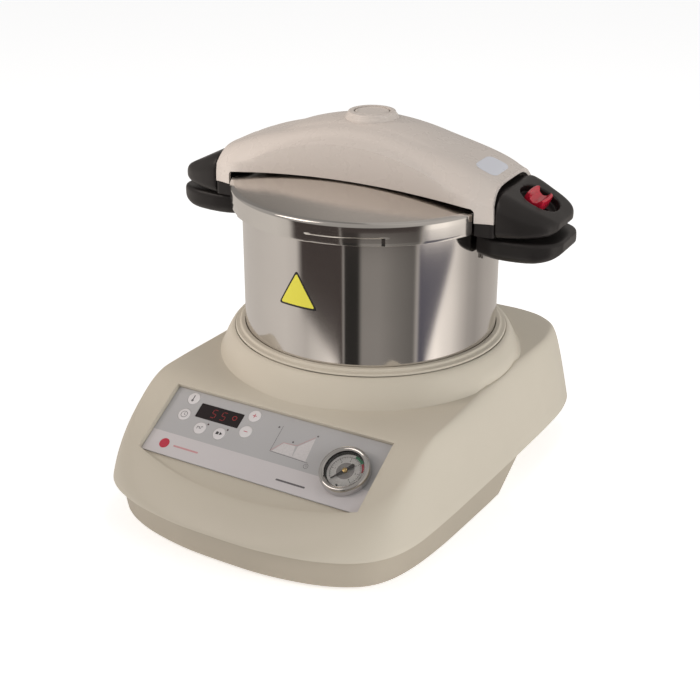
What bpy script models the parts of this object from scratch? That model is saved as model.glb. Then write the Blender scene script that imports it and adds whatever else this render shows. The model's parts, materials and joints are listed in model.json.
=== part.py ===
"""Bench-top pressure curing unit: heated base with a control panel, fixed pot and bayonet lid.

Metres, +Z up. The origin is the middle of the footprint on the supporting surface.
The empty "appliance" stands on the pot axis; most pieces are placed in its frame.
"""
import bpy
import bmesh
from math import atan, atan2, cos, hypot, pi, radians, sin
from mathutils import Matrix, Vector

MM = 0.001
GAP = 0.3 * MM

# Pot and lid, measured from the pot axis and the supporting surface
POT_AXIS_Y = 36.9 * MM
POT_R = 110.0 * MM
POT_WALL = 1.5 * MM
POT_FLOOR_Z = 74.4 * MM
POT_RIM_Z = 246.0 * MM
LID_R = 119.8 * MM
LID_WALL = 1.7 * MM
LID_TOP_Z = 265.5 * MM
LID_DOME_R = 597.0 * MM
LID_SKIRT_Z = 235.5 * MM
LUG_COUNT = 5
LUG_FIRST = radians(-73.0)
LUG_WIDTH = radians(30.0)

# Base casing
SEAM_Z = 32.0 * MM
DECK_Z = 102.5 * MM
DECK_RISE = 0.012
WALL_SLOPE = 4.9
SHELL = 3.0 * MM
SHOULDER = 22.0 * MM
COLLAR_FOOT = 133.0 * MM
TRAY_FLOOR_Z = 3.0 * MM
TRAY_WALL = 2.5 * MM
FOOT_H = 2.7 * MM

# Sloping control panel
PANEL_TILT = radians(31.0)
PANEL_Y = -170.5 * MM
PANEL_Z = 76.0 * MM
PANEL_W = 208.0 * MM
PANEL_H = 64.5 * MM
PANEL_T = 1.0 * MM
PANEL_RAISE = 4.2 * MM
RECESS_DEPTH = 1.3 * MM
CRESCENT_DEPTH = 19.3 * MM
GAUGE_X = 78.0 * MM
GAUGE_Y = -2.0 * MM
GAUGE_R = 21.0 * MM
KEY_R = 5.6 * MM
KEYS = {
    "key_temperature": (-84.4 * MM, 25.0 * MM),
    "key_time": (-84.4 * MM, 8.4 * MM),
    "key_program": (-63.4 * MM, 0.2 * MM),
    "key_start": (-44.0 * MM, 0.2 * MM),
    "key_plus": (-22.5 * MM, 24.4 * MM),
    "key_minus": (-22.5 * MM, 8.5 * MM),
}
DISPLAY = (-53.0 * MM, 16.2 * MM)
DISPLAY_W = 42.4 * MM
DISPLAY_H = 13.4 * MM

# Bridge over the lid and the handles
BRIDGE_TURN = radians(2.8)
RIDGE_Z = 309.4 * MM
COVER_END = 128.5 * MM
COVER_HALF = 48.0 * MM
COVER_EDGE_Z = 264.8 * MM
LEG_Z = 245.8 * MM
LEG_START = 113.4 * MM
COVER_WALL = 3.0 * MM
BUTTON_R = 14.4 * MM
LOCK_SLOPE = radians(24.5)
LOCK_S = 149.5 * MM
LOCK_Z = 260.4 * MM

# Rear wall
REAR_Y = 152.8 * MM
REAR_Z = 62.0 * MM
REAR_TILT = radians(12.0)

ROUND = 40


# ---------------------------------------------------------------- helpers

def clear_scene():
    for item in list(bpy.data.objects):
        bpy.data.objects.remove(item, do_unlink=True)


def material(name, color, roughness, metallic=0.0):
    made = bpy.data.materials.new(name)
    made.use_nodes = True
    shader = made.node_tree.nodes["Principled BSDF"]
    shader.inputs["Base Color"].default_value = (*color, 1.0)
    shader.inputs["Roughness"].default_value = roughness
    shader.inputs["Metallic"].default_value = metallic
    return made


def frame(name, location, rotation=(0.0, 0.0, 0.0), parent=None):
    empty = bpy.data.objects.new(name, None)
    bpy.context.collection.objects.link(empty)
    empty.parent = parent
    empty.location = location
    empty.rotation_euler = rotation
    return empty


def place(name, mesh_maker, slot, parent, location=(0.0, 0.0, 0.0), rotation=(0.0, 0.0, 0.0)):
    """Turn a bmesh into a named object with outward faces."""
    bmesh.ops.remove_doubles(mesh_maker, verts=mesh_maker.verts[:], dist=1e-7)
    bmesh.ops.recalc_face_normals(mesh_maker, faces=mesh_maker.faces[:])
    mesh = bpy.data.meshes.new(name)
    mesh_maker.to_mesh(mesh)
    mesh_maker.free()
    if slot is not None:
        mesh.materials.append(slot)
    mesh.shade_smooth()
    mesh.set_sharp_from_angle(angle=radians(35.0))
    made = bpy.data.objects.new(name, mesh)
    bpy.context.collection.objects.link(made)
    made.parent = parent
    made.location = location
    made.rotation_euler = rotation
    return made


def hide_cutter(tool):
    tool.hide_render = True
    tool.display_type = 'WIRE'
    return tool


def combine(target, tool, operation):
    step = target.modifiers.new(operation.lower(), 'BOOLEAN')
    step.operation = operation
    step.solver = 'EXACT'
    step.object = hide_cutter(tool)
    return target


def cut(target, tool):
    return combine(target, tool, 'DIFFERENCE')


def join(target, tool):
    return combine(target, tool, 'UNION')


def turned(profile, steps=ROUND):
    """Solid of revolution about Z from a closed outline of (radius, height)."""
    bm = bmesh.new()
    verts = [bm.verts.new((r, 0.0, z)) for r, z in profile]
    edges = [bm.edges.new(pair) for pair in zip(verts, verts[1:])]
    if profile[0][0] > 0.0:
        edges.append(bm.edges.new((verts[-1], verts[0])))
    bmesh.ops.spin(bm, geom=verts + edges, cent=(0, 0, 0), axis=(0, 0, 1),
                   angle=2 * pi, steps=steps, use_merge=True)
    bmesh.ops.remove_doubles(bm, verts=bm.verts[:], dist=1e-7)
    bmesh.ops.dissolve_degenerate(bm, edges=bm.edges[:], dist=1e-7)
    return bm


def disc(radius, low, high, steps=ROUND):
    return turned([(0.0, low), (radius, low), (radius, high), (0.0, high)], steps)


def ring(inner, outer, low, high, steps=ROUND):
    return turned([(inner, low), (outer, low), (outer, high), (inner, high)], steps)


def loft(rings, closed=False):
    """Skin a list of closed loops; the two end loops are capped unless the loft closes."""
    bm = bmesh.new()
    loops = [[bm.verts.new(p) for p in loop] for loop in rings]
    count = len(loops[0])
    pairs = list(zip(loops, loops[1:]))
    if closed:
        pairs.append((loops[-1], loops[0]))
    for low, high in pairs:
        for i in range(count):
            j = (i + 1) % count
            bm.faces.new((low[i], low[j], high[j], high[i]))
    if not closed:
        bm.faces.new(loops[0][::-1])
        bm.faces.new(loops[-1])
    return bm


def prism(outline, low, high):
    return loft([[(x, y, low) for x, y in outline], [(x, y, high) for x, y in outline]])


def block(size, center=(0.0, 0.0, 0.0), chamfer=0.0):
    bm = bmesh.new()
    bmesh.ops.create_cube(bm, size=1.0, matrix=Matrix.Translation(center) @ Matrix.Diagonal((*size, 1.0)))
    if chamfer:
        bmesh.ops.bevel(bm, geom=bm.edges[:], offset=chamfer, segments=1, affect='EDGES')
    return bm


def merged(*pieces):
    """Put several bmeshes in one, as the tool of a Boolean."""
    bm = bmesh.new()
    for piece in pieces:
        mesh = bpy.data.meshes.new("part_of_tool")
        piece.to_mesh(mesh)
        piece.free()
        bm.from_mesh(mesh)
        bpy.data.meshes.remove(mesh)
    return bm


def moved(bm, matrix):
    bmesh.ops.transform(bm, matrix=matrix, verts=bm.verts[:])
    return bm


def rounded_rectangle(width, height, radius, steps=3, center=(0.0, 0.0)):
    points = []
    corners = ((1, 1, 0.0), (-1, 1, pi / 2), (-1, -1, pi), (1, -1, 3 * pi / 2))
    for sx, sy, start in corners:
        for i in range(steps + 1):
            a = start + pi / 2 * i / steps
            x = center[0] + sx * (width / 2 - radius) + radius * cos(a)
            y = center[1] + sy * (height / 2 - radius) + radius * sin(a)
            points.append((x, y))
    return points


def arc_blocks(inner, outer, low, high, width, steps=6):
    """The ring of bayonet teeth, one block for each."""
    teeth = []
    for k in range(LUG_COUNT):
        middle = LUG_FIRST + k * 2 * pi / LUG_COUNT
        angles = [middle - width / 2 + width * i / steps for i in range(steps + 1)]
        loops = []
        for a in angles:
            c, s = cos(a), sin(a)
            loops.append([(r * c, r * s, z) for r, z in
                          ((inner, low), (outer, low), (outer, high), (inner, high))])
        teeth.append(loft(loops))
    return merged(*teeth)


def sweep(route, radius, sides):
    """Round bar along a route, its section carried without twist, with flat ends."""
    side = Vector((0.0, 0.0, 1.0)).cross(route[1] - route[0])
    if side.length < 1e-6:
        side = Vector((1.0, 0.0, 0.0))
    loops = []
    for i, point in enumerate(route):
        along = (route[min(i + 1, len(route) - 1)] - route[max(i - 1, 0)]).normalized()
        side = (side - along * side.dot(along)).normalized()
        up = along.cross(side)
        angles = [2 * pi * k / sides for k in range(sides)]
        loops.append([point + (side * cos(a) + up * sin(a)) * radius for a in angles])
    return loft(loops)


def hose(name, route, radius, slot, parent):
    fine = smooth_path([Vector(p) * MM for p in route], 3)
    return place(name, sweep(fine, radius, 8), slot, parent)


def catmull(p0, p1, p2, p3, t):
    return 0.5 * (2 * p1 + (p2 - p0) * t + (2 * p0 - 5 * p1 + 4 * p2 - p3) * t * t
                  + (3 * p1 - p0 - 3 * p2 + p3) * t ** 3)


def smooth_path(points, steps):
    """Points along a smooth curve through all of the given points."""
    padded = [2 * points[0] - points[1]] + points + [2 * points[-1] - points[-2]]
    fine = []
    for i in range(len(points) - 1):
        for k in range(steps):
            fine.append(catmull(*padded[i:i + 4], k / steps))
    return fine + [points[-1]]


def smooth_loop(points, steps):
    count = len(points)
    fine = []
    for i in range(count):
        near = [points[(i + k) % count] for k in (-1, 0, 1, 2)]
        for k in range(steps):
            fine.append(catmull(*near, k / steps))
    return fine


def mirrored_loop(half, steps):
    """Close a half outline, from front centre to rear centre on +X, across the YZ plane."""
    right = [Vector(p) * MM for p in half]
    left = [Vector((-p.x, p.y)) for p in reversed(right[1:-1])]
    return smooth_loop(right + left, steps)


def inset(loop, distance):
    """Offset a counter-clockwise loop inwards."""
    shifted = []
    for i, point in enumerate(loop):
        along = loop[(i + 1) % len(loop)] - loop[i - 1]
        inward = Vector((-along.y, along.x)).normalized()
        shifted.append(point + inward * distance)
    return shifted


def smooth_low(a, b, blend):
    """The lower of two heights, rounded where they cross."""
    h = max(blend - abs(a - b), 0.0) / blend
    return min(a, b) - h * h * blend / 4


# ---------------------------------------------------------------- base casing

SEAM_HALF = [(0, -244.5), (40, -243.2), (81, -235.5), (112, -222), (131, -203), (141, -176), (145, -132),
             (147, -70), (148.5, 0), (149, 60), (147, 100), (138, 132), (119, 149), (98, 156), (75, 158.2),
             (40, 158.8), (0, 159)]
TRAY_TOP_HALF = [(0, -238), (40, -236.5), (80, -229), (110, -215), (127, -197), (136, -170), (140.5, -130),
                 (143, -70), (144.5, -5), (144, 10), (131, 27), (106, 52), (98, 66), (97, 100), (96, 138),
                 (88, 147), (45, 148.5), (0, 149)]
TRAY_LOW_HALF = [(0, -234), (40, -232.5), (80, -224.5), (109, -211), (125, -193), (134, -166), (139, -128),
                 (141.5, -80), (143, -36), (141.5, -22), (127, -2), (104, 24), (96.5, 42), (95, 85), (94, 134),
                 (86, 143.5), (45, 145), (0, 145.5)]


def slope_height(y, raise_by):
    return PANEL_Z + raise_by / cos(PANEL_TILT) + (y - PANEL_Y) * sin(PANEL_TILT) / cos(PANEL_TILT)


def top_height(y, drop=0.0):
    """Height of the casing's top: the deck, with the control slope cut off its front."""
    raise_by = PANEL_RAISE if drop == 0.0 else -4.2 * MM
    deck = DECK_Z + DECK_RISE * y - drop
    return smooth_low(deck, slope_height(y, raise_by), 8 * MM)


def shoulder_width(point, thickness):
    """The rounded edge ends before the collar, which comes close to the side walls."""
    return min(SHOULDER, point.length - (COLLAR_FOOT - 2.5 * MM - thickness))


def shoulder_curve(point, toward, drop, steps):
    """Points from the seam up the drafted wall and over the rounded edge, towards the pot."""
    def height(distance):
        return top_height((point + toward * distance).y, drop) - SEAM_Z
    width = shoulder_width(point, drop)
    end = Vector((width, height(width)))
    rise = (height(width + MM) - height(width)) / MM
    crossing = max((end.y - rise * end.x) / (WALL_SLOPE - rise), 0.3 * MM)
    corner = Vector((crossing, WALL_SLOPE * crossing))
    start = Vector((0.0, 0.0))
    fullness = 0.82 - 0.22 * min(max((toward.y - 0.6) / 0.3, 0.0), 1.0)
    first = start.lerp(corner, fullness)
    second = end.lerp(corner, fullness)
    curve = []
    for i in range(steps + 1):
        t = i / steps
        spot = ((1 - t) ** 3 * start + 3 * (1 - t) ** 2 * t * first
                + 3 * (1 - t) * t * t * second + t ** 3 * end)
        ground = point + toward * spot.x
        curve.append((ground.x, ground.y, SEAM_Z + spot.y))
    return curve


def casing_rings(thickness):
    """Loops of the casing's skin from the seam to the lip of the pot opening."""
    outline = mirrored_loop(SEAM_HALF, 2)
    steps, bands = 6, 2
    collar = [(133.0, None), (128.5, 111.5), (125.2, 118.5), (122.2, 123.0), (120.0, 124.5), (118.0, 123.4),
              (118.0, 112.0)]
    if thickness:
        outline = inset(outline, thickness)
        steps = 3
        collar = [(129.0, None), (124.2, 114.0), (121.4, 118.8), (121.2, 112.0)]
    columns = []
    for point in outline:
        toward = (-point).normalized()
        column = shoulder_curve(point, toward, thickness, steps)
        reach = point.length - shoulder_width(point, thickness)
        foot = min(collar[0][0] * MM, reach - 0.6 * MM)
        for k in range(bands):
            ground = -toward * (reach + (foot - reach) * (k + 1) / bands)
            column.append((ground.x, ground.y, top_height(ground.y, thickness)))
        for radius, height in collar[1:]:
            column.append((-toward.x * radius * MM, -toward.y * radius * MM, height * MM))
        columns.append(column)
    return [[column[k] for column in columns] for k in range(len(columns[0]))]


def crescent_outline(margin):
    """Recess in the control slope: the panel's rectangle and a shallow arc below it."""
    half = PANEL_W / 2 + margin
    top = PANEL_H / 2 + margin
    points = [(half, -PANEL_H / 2), (half, top), (-half, top), (-half, -PANEL_H / 2)]
    radius = (half ** 2 + CRESCENT_DEPTH ** 2) / (2 * CRESCENT_DEPTH)
    spread = atan2(half, radius - CRESCENT_DEPTH)
    for i in range(1, 12):
        a = -spread + 2 * spread * i / 12
        points.append((radius * sin(a), -PANEL_H / 2 - CRESCENT_DEPTH + radius * (1 - cos(a))))
    return points


def make_housing(slot, base, panel, rear):
    outer = casing_rings(0.0)
    inner = casing_rings(SHELL)
    housing = place("upper_housing", loft(outer + inner[::-1], closed=True), slot, base)
    cut(housing, place("recess_tool", prism(crescent_outline(0.4 * MM), -RECESS_DEPTH, 30 * MM), None, panel))
    window = rounded_rectangle(40 * MM, 11.5 * MM, MM, center=DISPLAY)
    holes = [prism(window, -30 * MM, MM),
             moved(disc(19.2 * MM, -30 * MM, MM, 32), Matrix.Translation((GAUGE_X, GAUGE_Y, 0)))]
    cut(housing, place("panel_holes_tool", merged(*holes), None, panel))
    back = [moved(block((28.6 * MM, 20.6 * MM, 30 * MM)), Matrix.Translation((-70 * MM, 0, 0))),
            moved(block((13.6 * MM, 19.6 * MM, 30 * MM)), Matrix.Translation((-32 * MM, 0, 0))),
            moved(disc(6.4 * MM, -15 * MM, 15 * MM, 24), Matrix.Translation((41 * MM, 0, 0))),
            moved(disc(5.4 * MM, -15 * MM, 15 * MM, 24), Matrix.Translation((72 * MM, 0, 0)))]
    cut(housing, place("rear_holes_tool", merged(*back), None, rear))
    return housing


def level(loop, z):
    return [(p.x, p.y, z) for p in loop]


def make_tray(slot, base):
    """Bottom tray, with a flange that closes the casing wherever the tray is narrower."""
    top = mirrored_loop(TRAY_TOP_HALF, 2)
    low = mirrored_loop(TRAY_LOW_HALF, 2)
    rim_z = SEAM_Z - GAP
    tray = place("lower_tray", loft([level(low, TRAY_FLOOR_Z), level(top, rim_z)]), slot, base)
    edge = [(p.x, p.y) for p in inset(mirrored_loop(SEAM_HALF, 2), 3 * MM)]
    join(tray, place("tray_flange_tool", prism(edge, rim_z - TRAY_WALL, rim_z), None, base))
    cavity = [level(inset(low, TRAY_WALL), TRAY_FLOOR_Z + TRAY_WALL), level(inset(top, TRAY_WALL), rim_z + MM)]
    cut(tray, place("tray_cavity_tool", loft(cavity), None, base))
    slots = [block((60 * MM, 4 * MM, 8 * MM), (0, (-165 + 12 * k) * MM, 4 * MM)) for k in range(4)]
    return cut(tray, place("vent_slot_tool", merged(*slots), None, base))


def make_feet(slot, base):
    spots = {"foot_front_left": (-98, -172), "foot_front_right": (98, -172),
             "foot_rear_left": (-72, 122), "foot_rear_right": (72, 122)}
    profile = [(0, 0), (8.5, 0), (9.5, 1.0), (9.5, 2.7), (0, 2.7)]
    for name, (x, y) in spots.items():
        bm = turned([(r * MM, z * MM) for r, z in profile], 20)
        place(name, bm, slot, base, (x * MM, y * MM, 0.0))


# ---------------------------------------------------------------- heater and pot

def make_heater(looks, base):
    support = [(99, 5.8), (99, 7.3), (93.5, 7.3), (93.5, 61.5), (80, 61.5), (80, 60), (92, 60), (92, 5.8)]
    pan = place("pot_support", turned([(r * MM, z * MM) for r, z in support]), looks["steel"], base)
    gates = [block((46 * MM, 60 * MM, 34 * MM), (14 * MM, 95 * MM, 26 * MM)),
             block((60 * MM, 60 * MM, 34 * MM), (30 * MM, -90 * MM, 26 * MM))]
    cut(pan, place("support_gate_tool", merged(*gates), None, base))
    plate = place("heater_plate", ring(12 * MM, 90 * MM, 61.8 * MM, 68.8 * MM), looks["aluminium"], base)
    probe_hole = disc(2.8 * MM, 55 * MM, 75 * MM, 16)
    cut(plate, place("probe_hole_tool", probe_hole, None, base, (35 * MM, 0, 0)))
    bead = [(62 * MM + 3 * MM * cos(2 * pi * i / 8), 58.3 * MM + 3 * MM * sin(2 * pi * i / 8)) for i in range(8)]
    place("heating_element", turned(bead, 24), looks["dark_metal"], base)
    place("temperature_probe", disc(2.4 * MM, 45 * MM, 68.3 * MM, 14), looks["steel"], base, (35 * MM, 0, 0))
    place("pot_base_plate", ring(12 * MM, 98 * MM, 69.1 * MM, 74.1 * MM), looks["aluminium"], base)


def make_pot(looks, base):
    inner = POT_R - POT_WALL
    floor = POT_FLOOR_Z
    profile = [(6.2 * MM, floor), (POT_R - 9 * MM, floor), (POT_R - 3 * MM, floor + 2.4 * MM),
               (POT_R, floor + 9 * MM), (POT_R, POT_RIM_Z - 4.5 * MM), (POT_R + 2 * MM, POT_RIM_Z - 2 * MM),
               (POT_R + 2 * MM, POT_RIM_Z), (inner, POT_RIM_Z), (inner, floor + 9 * MM),
               (inner - 3 * MM, floor + 4 * MM), (inner - 8 * MM, floor + 2 * MM), (6.2 * MM, floor + 2 * MM)]
    place("pot_body", turned(profile, 48), looks["steel"], base)
    shank = [(0, 30), (4, 30), (4, 36), (6, 36), (6, 76.7), (10, 76.7), (10, 79), (2.5, 79), (2.5, 46), (0, 46)]
    port = place("pot_port", turned([(r * MM, z * MM) for r, z in shank], 20), looks["brass"], base)
    cross = moved(disc(4 * MM, -14 * MM, 14 * MM, 16), Matrix.Rotation(pi / 2, 4, 'X'))
    join(port, place("port_cross_tool", cross, None, base, (0, 0, 40 * MM)))


def grip_section(half, low, high, top_round, low_round, steps=3):
    """Cross-section of a handle in its own YZ plane, rounder above than below."""
    points = []
    corners = ((1, high - top_round, top_round, 0.0), (-1, high - top_round, top_round, pi / 2),
               (-1, low + low_round, low_round, pi), (1, low + low_round, low_round, 3 * pi / 2))
    for side, middle, radius, start in corners:
        for i in range(steps + 1):
            a = start + pi / 2 * i / steps
            points.append((side * (half - radius) + radius * cos(a), middle + radius * sin(a)))
    return points


def grip_loft(stations):
    """Loft a handle outwards along X from (x, half width, bottom, top, upper and lower edge radius)."""
    loops = []
    for x, *shape in stations:
        section = grip_section(*[value * MM for value in shape])
        loops.append([(x * MM, y, z) for y, z in section])
    return loft(loops)


POT_GRIP = [(100, 24, 213.4, 230.6, 3, 5), (116, 32, 213.4, 231, 3, 6), (130, 36, 213.4, 231.3, 3.2, 7),
            (148, 36, 213.8, 231.8, 3.4, 7.5), (160, 34.2, 214.8, 232, 3.6, 7.5), (169, 29.4, 216.8, 231.9, 3.6, 6.6),
            (174.5, 23.6, 219.6, 231.4, 3.4, 5.2), (177.6, 16, 222.4, 230.4, 2.6, 3.4)]
LID_GRIP = [(102, 38.5, 234.4, 262, 12, 4), (118, 38.5, 234.4, 267, 15, 4), (129.3, 38.5, 234.4, 268, 15, 4.5),
            (130.1, 42, 234.5, 267.9, 14, 5), (140, 41, 234.7, 264.6, 13, 5.5), (150, 38.5, 235, 259.8, 11.5, 6),
            (160, 34.5, 235.8, 255.4, 9.5, 6), (167, 29.5, 237, 251.8, 7, 5.4), (171, 24.5, 238.7, 248.9, 5, 4),
            (173.3, 17, 240.6, 245.9, 2.6, 2.2)]


def make_pot_handles(looks, base):
    for side, turn in (("right", 0.0), ("left", pi)):
        arm = frame("pot_arm_" + side, (0, 0, 0), (0, 0, BRIDGE_TURN + turn), base)
        grip = place("pot_handle_" + side, grip_loft(POT_GRIP), looks["black"], arm)
        bore = [(0, 200), (5.8, 200), (5.8, 217), (3.3, 217), (3.3, 221), (0, 221)]
        screw_hole = moved(turned([(r * MM, z * MM) for r, z in bore], 16), Matrix.Translation((130 * MM, 0, 0)))
        around_pot = disc(112.8 * MM, 200 * MM, 240 * MM, 64)
        cut(grip, place("pot_grip_tool_" + side, merged(around_pot, screw_hole), None, arm))
        slot = block((44 * MM, 17 * MM, 4.8 * MM), (120 * MM, 0, 221 * MM))
        cut(grip, place("pot_slot_tool_" + side, slot, None, arm))
        plate = bracket_plate(110.4, 112.4, 207, 233, radians(18))
        bracket = place("pot_bracket_" + side, plate, looks["steel"], arm)
        tongue = block((29 * MM, 16 * MM, 4 * MM), (126 * MM, 0, 221 * MM))
        join(bracket, place("pot_tongue_tool_" + side, tongue, None, arm))
        screw = [(0, 214.5), (5.4, 214.5), (5.4, 216.6), (2.9, 216.6), (2.9, 218.6), (0, 218.6)]
        place("handle_screw_" + side, turned([(r * MM, z * MM) for r, z in screw], 16), looks["steel"], arm,
              (130 * MM, 0, 0))


def bracket_plate(inner, outer, low, high, spread, steps=6):
    loops = []
    for i in range(steps + 1):
        a = -spread / 2 + spread * i / steps
        loops.append([(r * MM * cos(a), r * MM * sin(a), z * MM) for r, z in
                      ((inner, low), (outer, low), (outer, high), (inner, high))])
    return loft(loops)


def make_collar(looks, base):
    profile = [(110.4, 114), (116.6, 114), (116.6, 124.9), (118.6, 125.2), (117.6, 126.4), (114.2, 127.4),
               (113.4, 129.3), (110.4, 129.3)]
    place("collar_ring", turned([(r * MM, z * MM) for r, z in profile], 48), looks["beige"], base)


# ---------------------------------------------------------------- lid group

def dome_height(radius):
    """Height of the lid's outer face above the supporting surface."""
    return LID_TOP_Z - radius * radius / (2 * LID_DOME_R)


def make_lid(looks, base):
    arm = frame("lid_axis", (0, 0, 0), (0, 0, BRIDGE_TURN), base)
    inner = LID_R - LID_WALL
    top = [(r * MM, dome_height(r * MM)) for r in (8.3, 35, 60, 82, 100, 112)]
    under = [(r, z - 2 * MM) for r, z in top]
    rim = [(116.6 * MM, 254.1 * MM), (118.9 * MM, 252.8 * MM), (LID_R, 250.4 * MM), (LID_R, LID_SKIRT_Z),
           (inner, LID_SKIRT_Z), (inner, 250.2 * MM), (116 * MM, 252 * MM)]
    lid = place("lid", turned(top + rim + under[::-1], 48), looks["steel"], arm)
    lugs = arc_blocks(112.3 * MM, inner + 0.8 * MM, 236.5 * MM, 238.7 * MM, LUG_WIDTH)
    join(lid, place("lid_lug_tool", lugs, None, arm))
    holes = [moved(disc(3.3 * MM, 240 * MM, 280 * MM, 16), Matrix.Translation((x * MM, 0, 0))) for x in (-45, 45)]
    holes.append(moved(disc(5.3 * MM, 240 * MM, 280 * MM, 16), Matrix.Translation((0, 78 * MM, 0))))
    cut(lid, place("lid_hole_tool", merged(*holes), None, arm))
    place("lid_gasket", ring(106 * MM, 113 * MM, 246.3 * MM, 252.2 * MM), looks["rubber"], arm)
    for side, x in (("left", -45), ("right", 45)):
        bolt = [(0, 256.4), (6, 256.4), (6, 260.4), (3, 260.4), (3, 270.4), (6, 270.4), (6, 274.8), (0, 275.6)]
        place("lid_bolt_" + side, turned([(r * MM, z * MM) for r, z in bolt], 16), looks["steel"], arm,
              (x * MM, 0, 0))
    valve = [(2, 258.5), (6.2, 258.5), (6.2, 261.5), (8, 261.7), (8, 265.8), (11, 265.8), (11, 266.7), (6, 266.7),
             (5, 268.8), (2, 268.8)]
    place("vent_valve", turned([(r * MM, z * MM) for r, z in valve], 20), looks["brass"], arm)
    relief = [(0, 252), (4, 252), (5, 254), (5, 262), (8, 262), (8, 265), (6, 266.5), (6, 272), (4.5, 273.5),
              (0, 273.5)]
    place("safety_valve", turned([(r * MM, z * MM) for r, z in relief], 16), looks["brass"], arm, (0, 78 * MM, 0))
    return arm


def ridge_height(s):
    """Top of the cover in mm at a distance s in mm from its middle."""
    return RIDGE_Z / MM - 2.89e-3 * s ** 2 + 4.98e-8 * s ** 4


def smooth_step(value, low, high):
    t = min(max((value - low) / (high - low), 0.0), 1.0)
    return t * t * (3 - 2 * t)


def cover_half(s):
    return COVER_HALF / MM - 5.2 * smooth_step(abs(s), 104, 128.5)


def cover_height(s, w):
    """Height in mm of the outer face: a rounded body with a raised spine along its middle."""
    end_part = min(abs(s) / (COVER_END / MM), 1.0)
    spine = 1.0 - smooth_step(abs(s), 55, 106)
    crest = ridge_height(s)
    body_top = crest - 3.5 * spine
    side = 275.5 - 13.5 * end_part ** 2
    body = body_top - (body_top - side) * (w / cover_half(s)) ** (6.0 - end_part ** 3)
    raised = crest - 2.3 * (min(w, 21.0) / 21.0) ** 2 - 0.5 * max(w - 21.0, 0.0) - 3.0 * (1.0 - spine)
    return max(body, raised)


def cover_section(s, inner):
    """Half of the cover's section at a distance s along it: (half width, height) in mm, edge to ridge."""
    wall = COVER_WALL / MM if inner else 0.0
    outer = cover_half(s)
    half = outer - wall
    edge = COVER_EDGE_Z / MM - 7.8 * (s / (LEG_START / MM)) ** 2
    if abs(s) > LEG_START / MM:
        edge = LEG_Z / MM
    points = [(half, edge), (half, max(cover_height(s, outer) - 0.4 * wall, edge + 1.0))]
    for w in (0.965, 0.9, 0.78, 0.6, 0.44, 0.22):
        points.append((half * w, cover_height(s, outer * w) - wall))
    points.append((0.0, ridge_height(s) - wall))
    return points


def cover_loop(s, inner):
    half = cover_section(s, inner)
    full = [(-w, z) for w, z in half] + [(w, z) for w, z in reversed(half[:-1])]
    loop = []
    for w, z in full:
        lean = 1.0 - 0.02 * smooth_step(z, 250, 275) * smooth_step(abs(s), 113.5, 128.5)
        loop.append(Vector((s * lean, w, z)) * MM)
    return loop


def make_bridge(looks, arm):
    loops = []
    for s in (-108, -90, -72, -54, -36, -18, 0, 18, 36, 54, 72, 90, 108):
        low = dome_height(s * MM) + 1.7 * MM
        loops.append([(s * MM, y * MM, z) for y, z in ((-14, low), (14, low), (14, low + 4 * MM), (-14, low + 4 * MM))])
    bar = place("bridge_bar", loft(loops), looks["dark_metal"], arm)
    bores = [disc(6.5 * MM, 250 * MM, 290 * MM, 20)]
    bores += [moved(disc(3.3 * MM, 250 * MM, 290 * MM, 16), Matrix.Translation((x * MM, 0, 0))) for x in (-45, 45)]
    cut(bar, place("bar_bore_tool", merged(*bores), None, arm))

    leg = LEG_START / MM
    side = [28, 55, 72, 88, 102, leg - 0.4, leg + 0.4, 121, 128.5]
    spots = [-s for s in reversed(side)] + [0] + side
    bands = [cover_loop(s, False) + cover_loop(s, True)[::-1] for s in spots]
    cover = place("bridge_cover", loft(bands), looks["beige"], arm)
    boss = [(15.0, 303.5), (23, 303.5), (22.4, 307.6), (20.4, 310.4), (20, 312), (18.8, 313), (15.0, 313)]
    join(cover, place("boss_tool", turned([(r * MM, z * MM) for r, z in boss], 24), None, arm))
    cut(cover, place("boss_bore_tool", disc(15.2 * MM, 296 * MM, 320 * MM, 24), None, arm))

    button = [(0, 272.8), (4, 272.8), (4, 306), (BUTTON_R / MM, 306), (BUTTON_R / MM, 311.8), (13.4, 312.7), (0, 312.9)]
    place("vent_button", turned([(r * MM, z * MM) for r, z in button], 24), looks["beige"], arm)
    coil = []
    turns, per_turn = 6, 9
    for i in range(turns * per_turn + 1):
        a = 2 * pi * i / per_turn
        height = 272.6 + 32.2 * i / (turns * per_turn)
        coil.append(Vector((8.4 * cos(a), 8.4 * sin(a), height)) * MM)
    place("vent_spring", sweep(coil, 0.8 * MM, 5), looks["steel"], arm)


def make_lid_handles(looks, arm):
    for side, turn in (("right", 0.0), ("left", pi)):
        seat = frame("lid_arm_" + side, (0, 0, 0), (0, 0, turn), arm)
        grip = place("lid_handle_" + side, grip_loft(LID_GRIP), looks["black"], seat)
        around_lid = disc(121.2 * MM, 220 * MM, 257.8 * MM, 64)
        cut(grip, place("lid_grip_tool_" + side, around_lid, None, seat))
        bar_end = block((22 * MM, 30 * MM, 8 * MM), (98 * MM, 0, 260 * MM))
        cut(grip, place("bar_end_tool_" + side, bar_end, None, seat))
        pocket = block((7 * MM, 12 * MM, 8 * MM), (124 * MM, -40 * MM, 239.5 * MM))
        cut(grip, place("pocket_tool_" + side, pocket, None, seat))
        if side == "right":
            make_lock(looks, seat, grip)


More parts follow.
